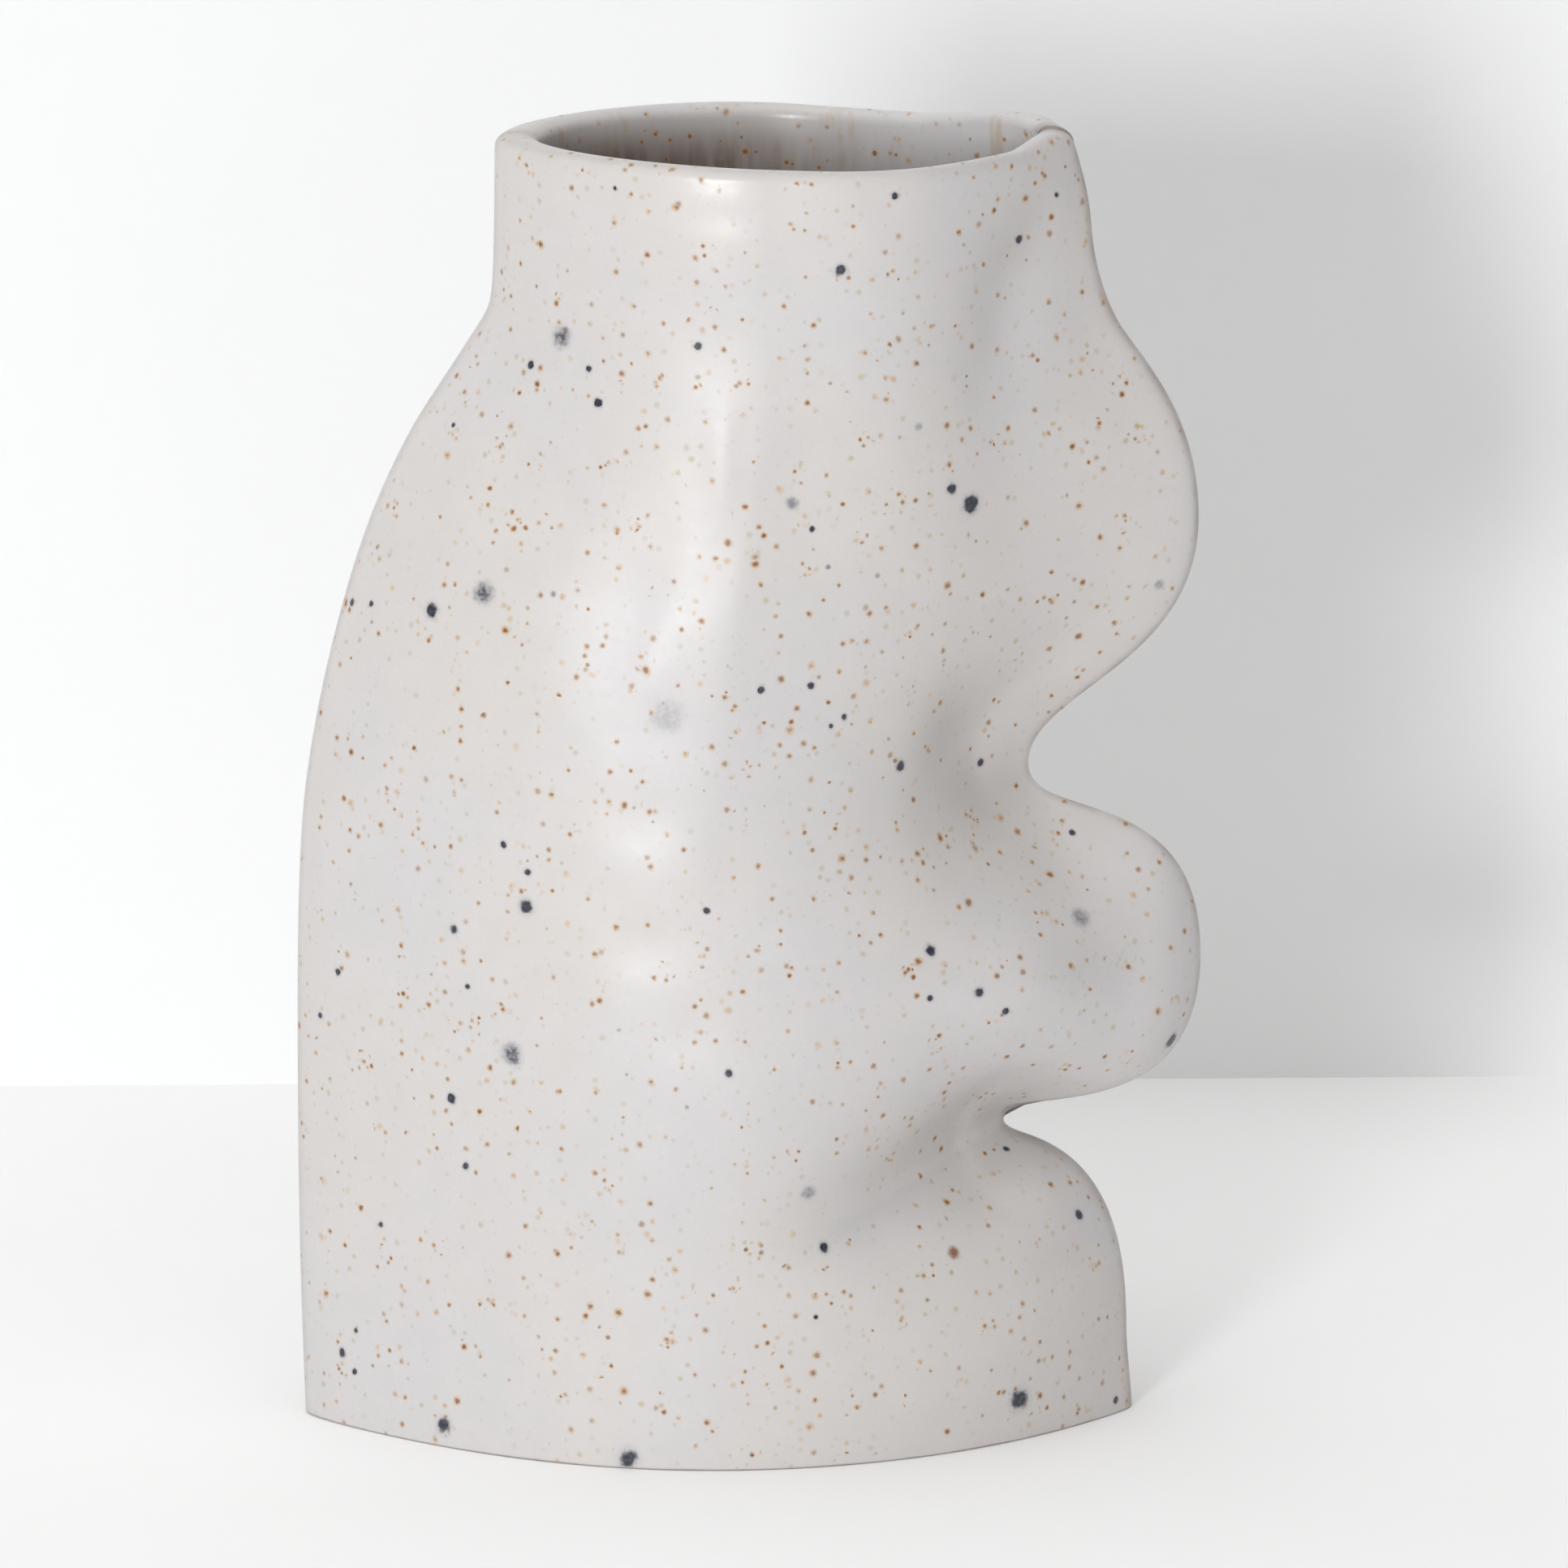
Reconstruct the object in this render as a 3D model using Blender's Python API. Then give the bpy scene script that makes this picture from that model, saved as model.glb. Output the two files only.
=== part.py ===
"""Flattened stoneware vase with one wavy side, as three luted clay parts.

The vase is a tall lens-section slab vessel.  Its left side is a plain shoulder;
its right side rolls in and out in three lobes with two deep notches between
them.  A front wall and a back wall meet along the two side seams, and a floor
is let in between them at the bottom.

Frame: X = width (the lobed side is +X), the front faces -Y, Z = up.
The origin is at the middle of the width and depth, on the surface it rests on.
Lengths are millimetres until the meshes are made.
"""

import math
from collections import namedtuple

import bmesh
import bpy
import numpy as np
from mathutils import Vector
from mathutils.geometry import interpolate_bezier

MM = 0.001              # metres per millimetre

# ----------------------------------------------------------------------------
# Driving dimensions
# ----------------------------------------------------------------------------
HEIGHT = 180.0          # foot to lip crest, before the rim is cut uneven
LIP_RADIUS = 1.9        # rise of the rounding over the rim
RIM_Z = HEIGHT - LIP_RADIUS
WALL = 4.0              # wall thickness of the body
WALL_RIM = 3.4          # wall thickness at the rim
WALL_TAPER = (168.0, 10.0)  # start height and span of the thinning
JOINT_GAP = 0.3         # clearance left between the luted parts
FOOT_BEVEL = 0.8        # bevel of the outer edge where the walls meet the table

FLOOR = 5.0             # floor thickness
FLOOR_SLACK = 0.05      # extra clearance round the floor
FLOOR_BEVEL_LOW = 0.4
FLOOR_BEVEL_TOP = 0.8

# Edge radius of a side seam, and how far in from the edge it acts
ROUND_LEFT = (3.0, 6.0)
ROUND_RIGHT = (2.4, 2.1)
ROUND_INSIDE = (4.6, 6.0)

WEB_LEFT, WEB_RIGHT = 2.6, 1.6  # extra clay in the two corners of the mouth
WEB_RAMP = (130.0, 45.0)        # start height and span over which it builds up

# The right end of the neck swings towards the front.
NECK_SWING = 4.0
SWING_RAMP_X = (2.0, 28.0)      # start and span of the swing across the width
SWING_RAMP_Z = (118.0, 48.0)    # and up the height

# Side profiles, from the rim down: x, z, lean of the tangent in degrees from
# straight down (positive leans out to +X), upper handle, lower handle.
LEFT_PROFILE = (
    (-34.6, 180.3, 0.0, 0.0, 4.0),      # rim
    (-35.0, 159.5, -4.0, 4.0, 3.9),     # bottom of the straight neck
    (-38.2, 151.4, -32.5, 4.5, 13.0),   # soft corner into the shoulder
    (-49.9, 131.2, -24.5, 10.3, 12.0),  # shoulder
    (-61.0, 88.0, -6.5, 13.0, 12.0),    # hip
    (-62.2, 40.0, 0.0, 14.0, 14.0),     # widest, almost straight
    (-61.4, 0.0, 2.0, 12.0, 0.0),       # foot
)
RIGHT_PROFILE = (
    (43.5, 180.3, 16.0, 0.0, 4.0),      # rim
    (46.5, 167.5, 4.0, 4.5, 5.0),       # neck
    (50.0, 154.3, 27.0, 4.5, 5.1),      # neck opens into the first lobe
    (61.6, 125.7, 0.0, 16.2, 20.7),     # first lobe
    (38.35, 91.5, 0.0, 10.0, 9.0),      # first notch
    (62.2, 64.3, 0.0, 25.2, 26.4),      # second lobe
    (35.1, 41.1, 0.0, 5.6, 3.5),        # second notch
    (52.2, 12.0, 0.0, 29.0, 4.0),       # third lobe
    (53.0, 0.0, 2.0, 4.0, 0.0),         # foot
)

# Half depth at the middle of the section: height, half depth.
FRONT_DEPTH = (
    (0.0, 32.9), (25.0, 32.5), (55.0, 32.6), (80.0, 30.6), (100.0, 29.1),
    (115.0, 28.3), (130.0, 27.0), (142.0, 26.5), (152.0, 26.2), (160.0, 26.2),
    (168.0, 26.4), (174.0, 26.4), (182.0, 25.5),
)
BACK_DEPTH = (
    (0.0, 31.8), (25.0, 32.6), (55.0, 32.9), (80.0, 32.2), (100.0, 31.0),
    (115.0, 29.4), (130.0, 27.3), (142.0, 25.6), (152.0, 24.4), (160.0, 23.9),
    (168.0, 23.9), (182.0, 23.6),
)

# Shape of the lens section towards each side: height, exponent
# (0.5 on both sides is an ellipse, 1 a parabola).
FULL_LEFT = ((0.0, 0.90), (60.0, 0.88), (120.0, 0.82), (160.0, 0.73), (182.0, 0.62))
FULL_RIGHT = ((0.0, 0.85), (14.0, 0.76), (40.0, 0.68), (120.0, 0.94), (145.0, 0.935),
              (162.0, 0.86), (182.0, 0.71))

# The clay is pinched flat round each notch, with a crease where the pinch meets
# the body: notch z, distance of the crease from the edge, its width on the
# edge side and on the body side, reach above and below the notch, and depth.
FRONT_PINCH = (
    (91.0, 9.0, 5.2, 7.0, 18.4, 13.0, 4.8),
    (41.1, 8.3, 3.6, 6.4, 9.2, 11.5, 2.4),
)
BACK_PINCH = (
    (92.0, 10.5, 6.0, 5.5, 15.0, 17.0, 3.0),
    (41.3, 9.0, 5.0, 5.0, 8.0, 9.0, 2.0),
)

# Hand-pressed relief: centre x, z, half length, half width above and below the
# line, direction in degrees from +X, depth (negative bulges out), and how
# crisp the line is (2 is a soft hollow, 1 a sharp fold).
FRONT_RELIEF = (
    (37.6, 137.5, 39.0, 11.2, 13.4, 97.5, 4.2, 2.0),   # long soft trough down to the first notch
    (34.2, 160.3, 13.8, 3.8, 4.9, 85.0, 1.2, 2.0),     # sharper in the neck
    (44.0, 80.3, 20.0, 9.6, 7.3, -62.0, 4.0, 2.0),     # lower arm of the first crease
    (49.8, 126.5, 12.7, 8.8, 7.2, 83.0, 1.9, 2.0),     # first lobe
    (27.4, 38.3, 13.8, 7.9, 5.3, 21.0, 6.5, 1.5),      # groove running in from the second notch
    (17.3, 36.0, 12.0, 6.3, 6.1, 8.0, 2.5, 2.0),       # where it fans out
    (51.0, 64.0, 18.0, 9.6, 6.2, 80.0, 3.4, 2.0),      # flat on the second lobe
    (-16.5, 116.3, 14.5, 9.9, 9.1, 83.0, 0.8, 2.0),    # flatter palm of the front
    (-1.8, 123.0, 24.0, 7.0, 5.0, 82.0, -0.65, 1.3),   # ridge beside it
)
BACK_RELIEF = (
    (26.0, 39.8, 12.0, 5.0, 4.0, 10.0, 3.4, 1.6),
    (50.0, 62.0, 12.0, 5.5, 5.5, 85.0, 0.5, 2.0),
    (-30.0, 120.0, 20.0, 12.0, 12.0, 60.0, 0.5, 2.0),
    (8.0, 100.0, 24.0, 9.0, 9.0, 80.0, 0.5, 2.0),
)
BULGE_FADE = 5.0        # a bulge dies out over this distance from the edge

# Uneven rim.  Dip: depth, centre x, half width.  Climb to the lobed end:
# height, start x measured from that end, span.
FRONT_RIM = ((0.95, 17.0, 24.0), (1.7, -6.0, 6.5))
BACK_RIM = ((0.5, 12.0, 12.0), (1.8, -19.0, 17.0))
RIM_CORNER_DROP = 0.6           # share of the cut taken off again at the very corner
RIM_CORNER_RAMP = (41.0, 3.2)   # start x and span of that
RIM_CUT_RAMP = (140.0, 38.0)    # start height and span over which the cut builds up

Side = namedtuple('Side', 'y_sign depths pinches presses rim')
FRONT = Side(-1, FRONT_DEPTH, FRONT_PINCH, FRONT_RELIEF, FRONT_RIM)
BACK = Side(+1, BACK_DEPTH, BACK_PINCH, BACK_RELIEF, BACK_RIM)

# Mesh density
ROWS = 62
COLUMNS = 13                            # in the middle, between the edge bands
EDGE_STEPS = (0.0, 0.45, 1.2, 2.4, 4.2)  # distances of the band lines from the edge
LIP_STEPS = 5
BEZIER_POINTS = 48                      # per profile span
HOLLOW_POINTS = 500                     # on each profile of the hollow
TURN_WEIGHT = 1.6                       # length that one radian of turn counts for
LEVEL_REACH = 7.0                       # band lines turn level this near foot and rim
RELAX_ROUNDS = 260

# Distance field of a side profile
EDGE_EXTENSION = 80             # straight run added beyond each end
EDGE_SAMPLE = 0.5               # longest sampled segment
SOFT_BLEND = (1.5, 4.5)         # start and span of the change to the soft distance
MIN_SQUARED_DISTANCE = 0.04
CHUNK = 2000                    # points handled at a time

SHARP_ANGLE = math.radians(50)


# ----------------------------------------------------------------------------
# Profiles
# ----------------------------------------------------------------------------
def ramp(value, start=0.0, span=1.0):
    """Smooth step from 0 at start to 1 at start + span."""
    t = np.clip((value - start) / span, 0.0, 1.0)
    return t * t * (3.0 - 2.0 * t)


def curve_at(z, rows):
    """Smooth cubic curve through (height, value) rows."""
    heights = np.array([row[0] for row in rows])
    values = np.array([row[1] for row in rows])
    slopes = np.gradient(values, heights)
    i = np.clip(np.searchsorted(heights, z) - 1, 0, len(heights) - 2)
    span = heights[i + 1] - heights[i]
    t = np.clip((z - heights[i]) / span, 0.0, 1.0)
    return ((2 * t ** 3 - 3 * t ** 2 + 1) * values[i]
            + (t ** 3 - 2 * t ** 2 + t) * span * slopes[i]
            + (3 * t ** 2 - 2 * t ** 3) * values[i + 1]
            + (t ** 3 - t ** 2) * span * slopes[i + 1])


def profile(knots):
    """Bezier side profile as an (n, 2) array of x and z, from the foot up."""
    def direction(knot):
        lean = math.radians(knot[2])
        return Vector((math.sin(lean), -math.cos(lean), 0.0))

    points = []
    for upper, lower in zip(knots[:-1], knots[1:]):
        start = Vector((upper[0], upper[1], 0.0))
        end = Vector((lower[0], lower[1], 0.0))
        span = interpolate_bezier(start, start + direction(upper) * upper[4],
                                  end - direction(lower) * lower[3], end, BEZIER_POINTS)
        points.extend(span if not points else span[1:])
    return np.array([(p.x, p.y) for p in points])[::-1]


def clip_profile(line, bottom, top):
    """Keep the profile between two heights, with exact end points."""
    def at(z):
        above = np.nonzero(line[:, 1] >= z)[0][0]
        low, high = line[above - 1], line[above]
        t = (z - low[1]) / (high[1] - low[1])
        return low + (high - low) * t
    inside = line[(line[:, 1] > bottom + 1e-4) & (line[:, 1] < top - 1e-4)]
    start = line[0] if bottom <= line[0, 1] else at(bottom)
    return np.vstack([start, inside, at(top)])


def resample(line, count):
    """Points spread along a line by length, closer together where it turns."""
    step = np.diff(line, axis=0)
    length = np.hypot(step[:, 0], step[:, 1])
    heading = np.unwrap(np.arctan2(step[:, 1], step[:, 0]))
    half_turn = 0.5 * np.abs(np.diff(heading))
    turn = np.zeros(len(length))
    turn[1:] += half_turn
    turn[:-1] += half_turn
    run = np.concatenate([[0.0], np.cumsum(length + TURN_WEIGHT * turn)])
    wanted = np.linspace(0.0, run[-1], count)
    return np.stack([np.interp(wanted, run, line[:, k]) for k in (0, 1)], axis=1)


def inward(points, sign):
    """Unit normals that point into the vase; level at the foot and the rim."""
    tangent = np.gradient(points, axis=0)
    tangent /= np.linalg.norm(tangent, axis=1)[:, None]
    normal = np.stack([tangent[:, 1], -tangent[:, 0]], axis=1) * sign
    z = points[:, 1]
    normal[:, 1] *= ramp(z, z[0], LEVEL_REACH) * ramp(z[-1] - z, 0.0, LEVEL_REACH)
    return normal / np.linalg.norm(normal, axis=1)[:, None]


def wall_at(z):
    return WALL + (WALL_RIM - WALL) * ramp(z, *WALL_TAPER)


def inset(line, sign, web):
    """Side profile of the hollow: one wall thickness inside the outer one, plus
    a web that fills the corners of the mouth."""
    fine = resample(line, HOLLOW_POINTS)
    z = fine[:, 1]
    return fine + inward(fine, sign) * (wall_at(z) + web * ramp(z, *WEB_RAMP))[:, None]


OUT_LEFT = clip_profile(profile(LEFT_PROFILE), 0.0, RIM_Z)
OUT_RIGHT = clip_profile(profile(RIGHT_PROFILE), 0.0, RIM_Z)
IN_LEFT = inset(OUT_LEFT, 1.0, WEB_LEFT)
IN_RIGHT = inset(OUT_RIGHT, -1.0, WEB_RIGHT)


# ----------------------------------------------------------------------------
# Section rules
# ----------------------------------------------------------------------------
def edge_distance(x, z, line):
    """Distance from (x, z) to a profile.

    Close to the edge it is the true distance.  Deeper inside it turns into an
    inverse-power average over the whole edge, which has no creases.
    """
    low = line[0] + np.outer(np.arange(-EDGE_EXTENSION, 0), (0.0, 1.0))
    high = line[-1] + np.outer(np.arange(1, EDGE_EXTENSION + 1), (0.0, 1.0))
    path = np.vstack([low, line, high])
    steps = np.diff(path, axis=0)
    counts = np.ceil(np.hypot(steps[:, 0], steps[:, 1]) / EDGE_SAMPLE)
    counts = np.maximum(1, counts.astype(int))
    samples, lengths = [], []
    for start, step, count in zip(path[:-1], steps, counts):
        middles = (np.arange(count) + 0.5) / count
        samples.append(start + np.outer(middles, step))
        lengths.append(np.full(count, np.hypot(*step) / count))
    samples, lengths = np.vstack(samples), np.concatenate(lengths)
    half = 0.5 * lengths
    flat = np.stack([x.ravel(), z.ravel()], axis=1)
    result = np.empty(len(flat))
    # integral of distance ** -6 along a straight line at unit distance
    unit = math.sqrt(math.pi) * math.gamma(2.5) / math.gamma(3.0)
    for i in range(0, len(flat), CHUNK):
        points = flat[i:i + CHUNK]
        squared = ((points[:, None, :] - samples[None]) ** 2).sum(axis=2)
        near = squared.argmin(axis=1)
        # true distance to the nearest little segment
        ahead = (samples[np.minimum(near + 1, len(samples) - 1)]
                 - samples[np.maximum(near - 1, 0)])
        ahead /= np.linalg.norm(ahead, axis=1)[:, None]
        offset = points - samples[near]
        along = np.clip((offset * ahead).sum(axis=1), -half[near], half[near])
        hard = np.linalg.norm(offset - ahead * along[:, None], axis=1)
        capped = np.maximum(squared, MIN_SQUARED_DISTANCE)
        mean = (lengths[None] / capped ** 3).sum(axis=1) / unit
        soft = mean ** -0.2
        blend = ramp(hard, *SOFT_BLEND)
        result[i:i + CHUNK] = hard * (1.0 - blend) + soft * blend
    return result.reshape(x.shape)


def relief(x, z, presses):
    """Depth of the hand-pressed hollows and bulges."""
    total = np.zeros_like(x)
    for centre_x, centre_z, length, above, below, angle, depth, crisp in presses:
        turn = math.radians(angle)
        along = (x - centre_x) * math.cos(turn) + (z - centre_z) * math.sin(turn)
        across = -(x - centre_x) * math.sin(turn) + (z - centre_z) * math.cos(turn)
        across = np.abs(across) / np.where(across > 0.0, above, below)
        total += depth * np.exp(-(along / length) ** 2 - across ** crisp)
    return total


def pinched(z, from_edge, pinches):
    """Depth of the crease that follows the lobed edge round each notch."""
    total = np.zeros_like(z)
    for notch_z, crease, edge_side, body_side, above, below, depth in pinches:
        width = np.where(from_edge < crease, edge_side, body_side)
        across = np.abs(from_edge - crease) / width
        along = np.where(z > notch_z, (z - notch_z) / above, (z - notch_z) / below)
        total += depth * np.exp(-across ** 1.6 - along ** 2)
    return total


def mid_surface(x, z):
    """Y of the surface that the two walls meet on."""
    return -NECK_SWING * ramp(x, *SWING_RAMP_X) * ramp(z, *SWING_RAMP_Z)


def half_depth(x, z, left, right, side, thinner, rounds):
    """Half depth of a lens section that is zero on both side profiles."""
    from_left = edge_distance(x, z, left)
    from_right = edge_distance(x, z, right)
    whole = from_left + from_right
    full = ((curve_at(z, side.depths) - thinner)
            * (2.0 * from_left / whole) ** curve_at(z, FULL_LEFT)
            * (2.0 * from_right / whole) ** curve_at(z, FULL_RIGHT))
    rounding = sum(2.0 * radius * distance * np.exp(-distance / reach)
                   for (radius, reach), distance in zip(rounds, (from_left, from_right)))
    pressed = (relief(x, z, side.presses)
               + pinched(z, edge_distance(x, z, OUT_RIGHT), side.pinches))
    depth = np.sqrt(full ** 2 + rounding)
    # a press can thin the section but never close it; a bulge fades at the edge
    fade = ramp(np.minimum(from_left, from_right), 0.0, BULGE_FADE)
    bulge = -np.minimum(pressed, 0.0) * fade
    return depth * np.exp(-np.maximum(pressed, 0.0) / np.maximum(depth, 0.05)) + bulge


def rim_cut(x, z, rim, tip_x):
    """Lift of the uneven rim: it dips along its length, climbs to the lobed end
    at tip_x, and is rounded off again at the very corner."""
    (dip, dip_x, dip_width), (climb, climb_start, climb_span) = rim
    cut = (-dip * np.exp(-((x - dip_x) / dip_width) ** 2)
           + climb * ramp(x - tip_x, climb_start, climb_span))
    corner = 1.0 - RIM_CORNER_DROP * ramp(x, *RIM_CORNER_RAMP)
    return cut * corner * ramp(z, *RIM_CUT_RAMP)


# ----------------------------------------------------------------------------
# Surface grids
# ----------------------------------------------------------------------------
def spans(grid):
    """Differences between the neighbours of each inner point, across and up."""
    return grid[1:-1, 2:] - grid[1:-1, :-2], grid[2:, 1:-1] - grid[:-2, 1:-1]


def relax(x, z):
    """Even out a structured grid in place between fixed borders (inverse Laplace rule)."""
    for _ in range(RELAX_ROUNDS):
        x_across, x_up = spans(x)
        z_across, z_up = spans(z)
        up = (x_up ** 2 + z_up ** 2) / 4.0
        across = (x_across ** 2 + z_across ** 2) / 4.0
        skew = (x_across * x_up + z_across * z_up) / 4.0
        for grid in (x, z):
            twist = (grid[2:, 2:] - grid[:-2, 2:] - grid[2:, :-2] + grid[:-2, :-2]) / 4.0
            grid[1:-1, 1:-1] = (up * (grid[1:-1, 2:] + grid[1:-1, :-2])
                                + across * (grid[2:, 1:-1] + grid[:-2, 1:-1])
                                - 2.0 * skew * twist) / (2.0 * (up + across))


def surface_grid(left, right):
    """Grid of x and z over the region between two side profiles.

    Bands of lines parallel to each side resolve the rounded edges; the middle
    is a relaxed grid between the bands.
    """
    left, right = resample(left, ROWS), resample(right, ROWS)
    steps = np.array(EDGE_STEPS)
    band_left = left[:, None] + steps[None, :, None] * inward(left, 1.0)[:, None]
    band_right = right[:, None] + steps[None, ::-1, None] * inward(right, -1.0)[:, None]
    t = np.linspace(0.0, 1.0, COLUMNS)
    start, end = band_left[:, -1], band_right[:, 0]
    x = start[:, :1] + (end[:, :1] - start[:, :1]) * t
    z = start[:, 1:] + (end[:, 1:] - start[:, 1:]) * ramp(t)
    relax(x, z)
    return [np.hstack([band_left[:, :-1, k], middle, band_right[:, 1:, k]])
            for k, middle in enumerate((x, z))]


def wall_surface(side, left, right, rounds, hollow):
    """Points of the outer or, if hollow, the inner surface of one wall."""
    x, z = surface_grid(left, right)
    thinner = wall_at(z) if hollow else 0.0
    depth = half_depth(x, z, left, right, side, thinner, rounds)
    depth[:, 0] = depth[:, -1] = 0.0
    y = mid_surface(x, z) + side.y_sign * (depth + 0.5 * JOINT_GAP)
    return np.stack([x, y, z + rim_cut(x, z, side.rim, right[-1, 0])], axis=2)


# ----------------------------------------------------------------------------
# Solids
# ----------------------------------------------------------------------------
def loft(name, sections, material, collection, flip=False):
    """Closed solid through equal-length closed sections, capped at both ends."""
    bm = bmesh.new()

    def add_face(verts, reverse):
        bm.faces.new(verts[::-1] if reverse else verts)

    rings = [[bm.verts.new(Vector(p) * MM) for p in section] for section in sections]
    count = len(rings[0])
    for lower, upper in zip(rings[:-1], rings[1:]):
        for i in range(count):
            k = (i + 1) % count
            add_face((lower[i], lower[k], upper[k], upper[i]), flip)
    # each cap is a strip of quads across the ring, ending in a triangle if odd
    half = count // 2
    for ring, reverse in ((rings[0], not flip), (rings[-1], flip)):
        for i in range(half - 1):
            add_face((ring[i], ring[i + 1], ring[count - 2 - i], ring[count - 1 - i]), reverse)
        if count % 2:
            add_face(ring[half - 1:half + 2], reverse)
    bmesh.ops.recalc_face_normals(bm, faces=bm.faces)
    bmesh.ops.triangulate(bm, faces=bm.faces, quad_method='SHORT_EDGE')
    mesh = bpy.data.meshes.new(name)
    bm.to_mesh(mesh)
    bm.free()
    mesh.shade_smooth()
    mesh.set_sharp_from_angle(angle=SHARP_ANGLE)
    mesh.materials.append(material)
    collection.objects.link(bpy.data.objects.new(name, mesh))


def wall_section(outer, inner):
    """Closed loop through one grid column: up the outside, over the lip, down
    the inside and back along the foot."""
    up = np.array([0.0, 0.0, 1.0])
    foot = outer[0]
    into = inner[0] - foot
    into = into / np.linalg.norm(into)
    loop = [foot + into * FOOT_BEVEL, foot + up * FOOT_BEVEL]
    # leave out points that would crowd the bevel
    loop += [p for p in outer[1:] if p[2] > FOOT_BEVEL * 1.5]
    middle, arm = (outer[-1] + inner[-1]) / 2.0, (outer[-1] - inner[-1]) / 2.0
    for k in range(1, LIP_STEPS):
        angle = math.pi * k / LIP_STEPS
        loop.append(middle + arm * math.cos(angle) + up * (LIP_RADIUS * math.sin(angle)))
    return loop + list(inner[::-1])


def build_wall(name, side, material, collection, flip):
    """Loft one wall from the left seam to the right; returns its inner surface."""
    outer = wall_surface(side, OUT_LEFT, OUT_RIGHT, (ROUND_LEFT, ROUND_RIGHT), hollow=False)
    inner = wall_surface(side, IN_LEFT, IN_RIGHT, (ROUND_INSIDE, ROUND_INSIDE), hollow=True)
    sections = [wall_section(outer[:, c], inner[:, c]) for c in range(outer.shape[1])]
    loft(name, sections, material, collection, flip)
    return inner


def floor_ring(z, shrink, front_inner, back_inner):
    """Level loop inside the two walls, drawn in by the clearance and shrink."""
    points = []
    for grid in (front_inner, back_inner[:, ::-1]):
        for c in range(grid.shape[1]):
            column = grid[:, c]
            points.append([np.interp(z, column[:, 2], column[:, k]) for k in (0, 1)])
    points = np.array(points)
    tangent = np.roll(points, -1, axis=0) - np.roll(points, 1, axis=0)
    tangent /= np.linalg.norm(tangent, axis=1)[:, None]
    normal = np.stack([-tangent[:, 1], tangent[:, 0]], axis=1)
    points = points + normal * (JOINT_GAP + FLOOR_SLACK + shrink)
    return [(x, y, z) for x, y in points]


def build_floor(front_inner, back_inner, material, collection):
    """Floor slab with bevelled edges, fitted inside the two walls."""
    levels = ((0.0, FLOOR_BEVEL_LOW), (FLOOR_BEVEL_LOW, 0.0),
              (FLOOR - FLOOR_BEVEL_TOP, 0.0), (FLOOR, FLOOR_BEVEL_TOP))
    sections = [floor_ring(z, shrink, front_inner, back_inner) for z, shrink in levels]
    loft('base_floor', sections, material, collection)


def glaze(name, color, roughness):
    material = bpy.data.materials.new(name)
    material.use_nodes = True
    inputs = material.node_tree.nodes['Principled BSDF'].inputs
    inputs['Base Color'].default_value = (*color, 1.0)
    inputs['Roughness'].default_value = roughness
    inputs['Metallic'].default_value = 0.0
    material.diffuse_color = (*color, 1.0)
    return material


def main():
    for obj in list(bpy.data.objects):
        bpy.data.objects.remove(obj, do_unlink=True)

    parts = bpy.data.collections.new('speckled_vase')
    bpy.context.scene.collection.children.link(parts)

    glaze_front = glaze('glaze_front', color=(0.71, 0.68, 0.66), roughness=0.38)
    glaze_back = glaze('glaze_back', color=(0.69, 0.66, 0.64), roughness=0.38)
    glaze_floor = glaze('glaze_floor', color=(0.66, 0.61, 0.56), roughness=0.55)

    front_inner = build_wall('front_wall', FRONT, glaze_front, parts, flip=False)
    back_inner = build_wall('back_wall', BACK, glaze_back, parts, flip=True)
    build_floor(front_inner, back_inner, glaze_floor, parts)


main()
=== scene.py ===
"""Looks of a speckled stoneware vase: two luted walls, a floor slab, the stage and the light.

The vase stands on z = 0 and is flattened front to back.  Its front faces -Y, its plain
side is at -X and its lobed side at +X.  The shape is worked out in millimetres and turned
into metres when a mesh is made; shaders and stage are in metres.
"""

import math
from types import SimpleNamespace

import bmesh
import bpy
import numpy as np
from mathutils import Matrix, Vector
from mathutils.geometry import interpolate_bezier


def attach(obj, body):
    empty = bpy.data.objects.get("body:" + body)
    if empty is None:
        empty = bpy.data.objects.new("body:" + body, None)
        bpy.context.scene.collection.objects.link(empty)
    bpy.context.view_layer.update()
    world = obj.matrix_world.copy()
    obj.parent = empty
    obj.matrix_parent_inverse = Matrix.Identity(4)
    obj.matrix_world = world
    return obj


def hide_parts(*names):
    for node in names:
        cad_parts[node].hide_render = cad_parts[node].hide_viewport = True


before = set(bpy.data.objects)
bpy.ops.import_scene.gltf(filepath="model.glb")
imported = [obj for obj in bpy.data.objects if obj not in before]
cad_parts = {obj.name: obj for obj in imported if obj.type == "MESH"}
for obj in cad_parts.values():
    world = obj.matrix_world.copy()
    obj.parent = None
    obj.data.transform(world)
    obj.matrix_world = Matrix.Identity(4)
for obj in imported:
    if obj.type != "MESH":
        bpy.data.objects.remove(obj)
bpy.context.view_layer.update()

# ----------------------------------------------------------------------------
# Driving dimensions (mm)
# ----------------------------------------------------------------------------
MM = 0.001              # one millimetre in metres

HEIGHT = 180.0          # foot to lip crest
LIP_RADIUS = 1.9        # rounding over the rim
LIP_POWER = 0.92        # below 1 the lip is a little squarer than a half circle
WALL = 4.0              # wall thickness of the body
WALL_RIM = 3.4          # the walls thin a little towards the rim
FLOOR = 5.0             # floor thickness
ARRIS = 0.4             # small rounding where the walls meet the table
ROUND_LEFT = (3.0, 6.0)     # edge radius of the plain side, and how far in it acts
ROUND_RIGHT = (2.4, 2.1)    # the lobed side is pinched sharper
ROUND_INSIDE = (4.6, 6.0)   # seam fillet inside
WEB_LEFT, WEB_RIGHT = 2.6, 1.6      # extra clay in the two corners of the mouth
NECK_SWING = 4.0        # the neck is turned: its right end swings towards the front

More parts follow.
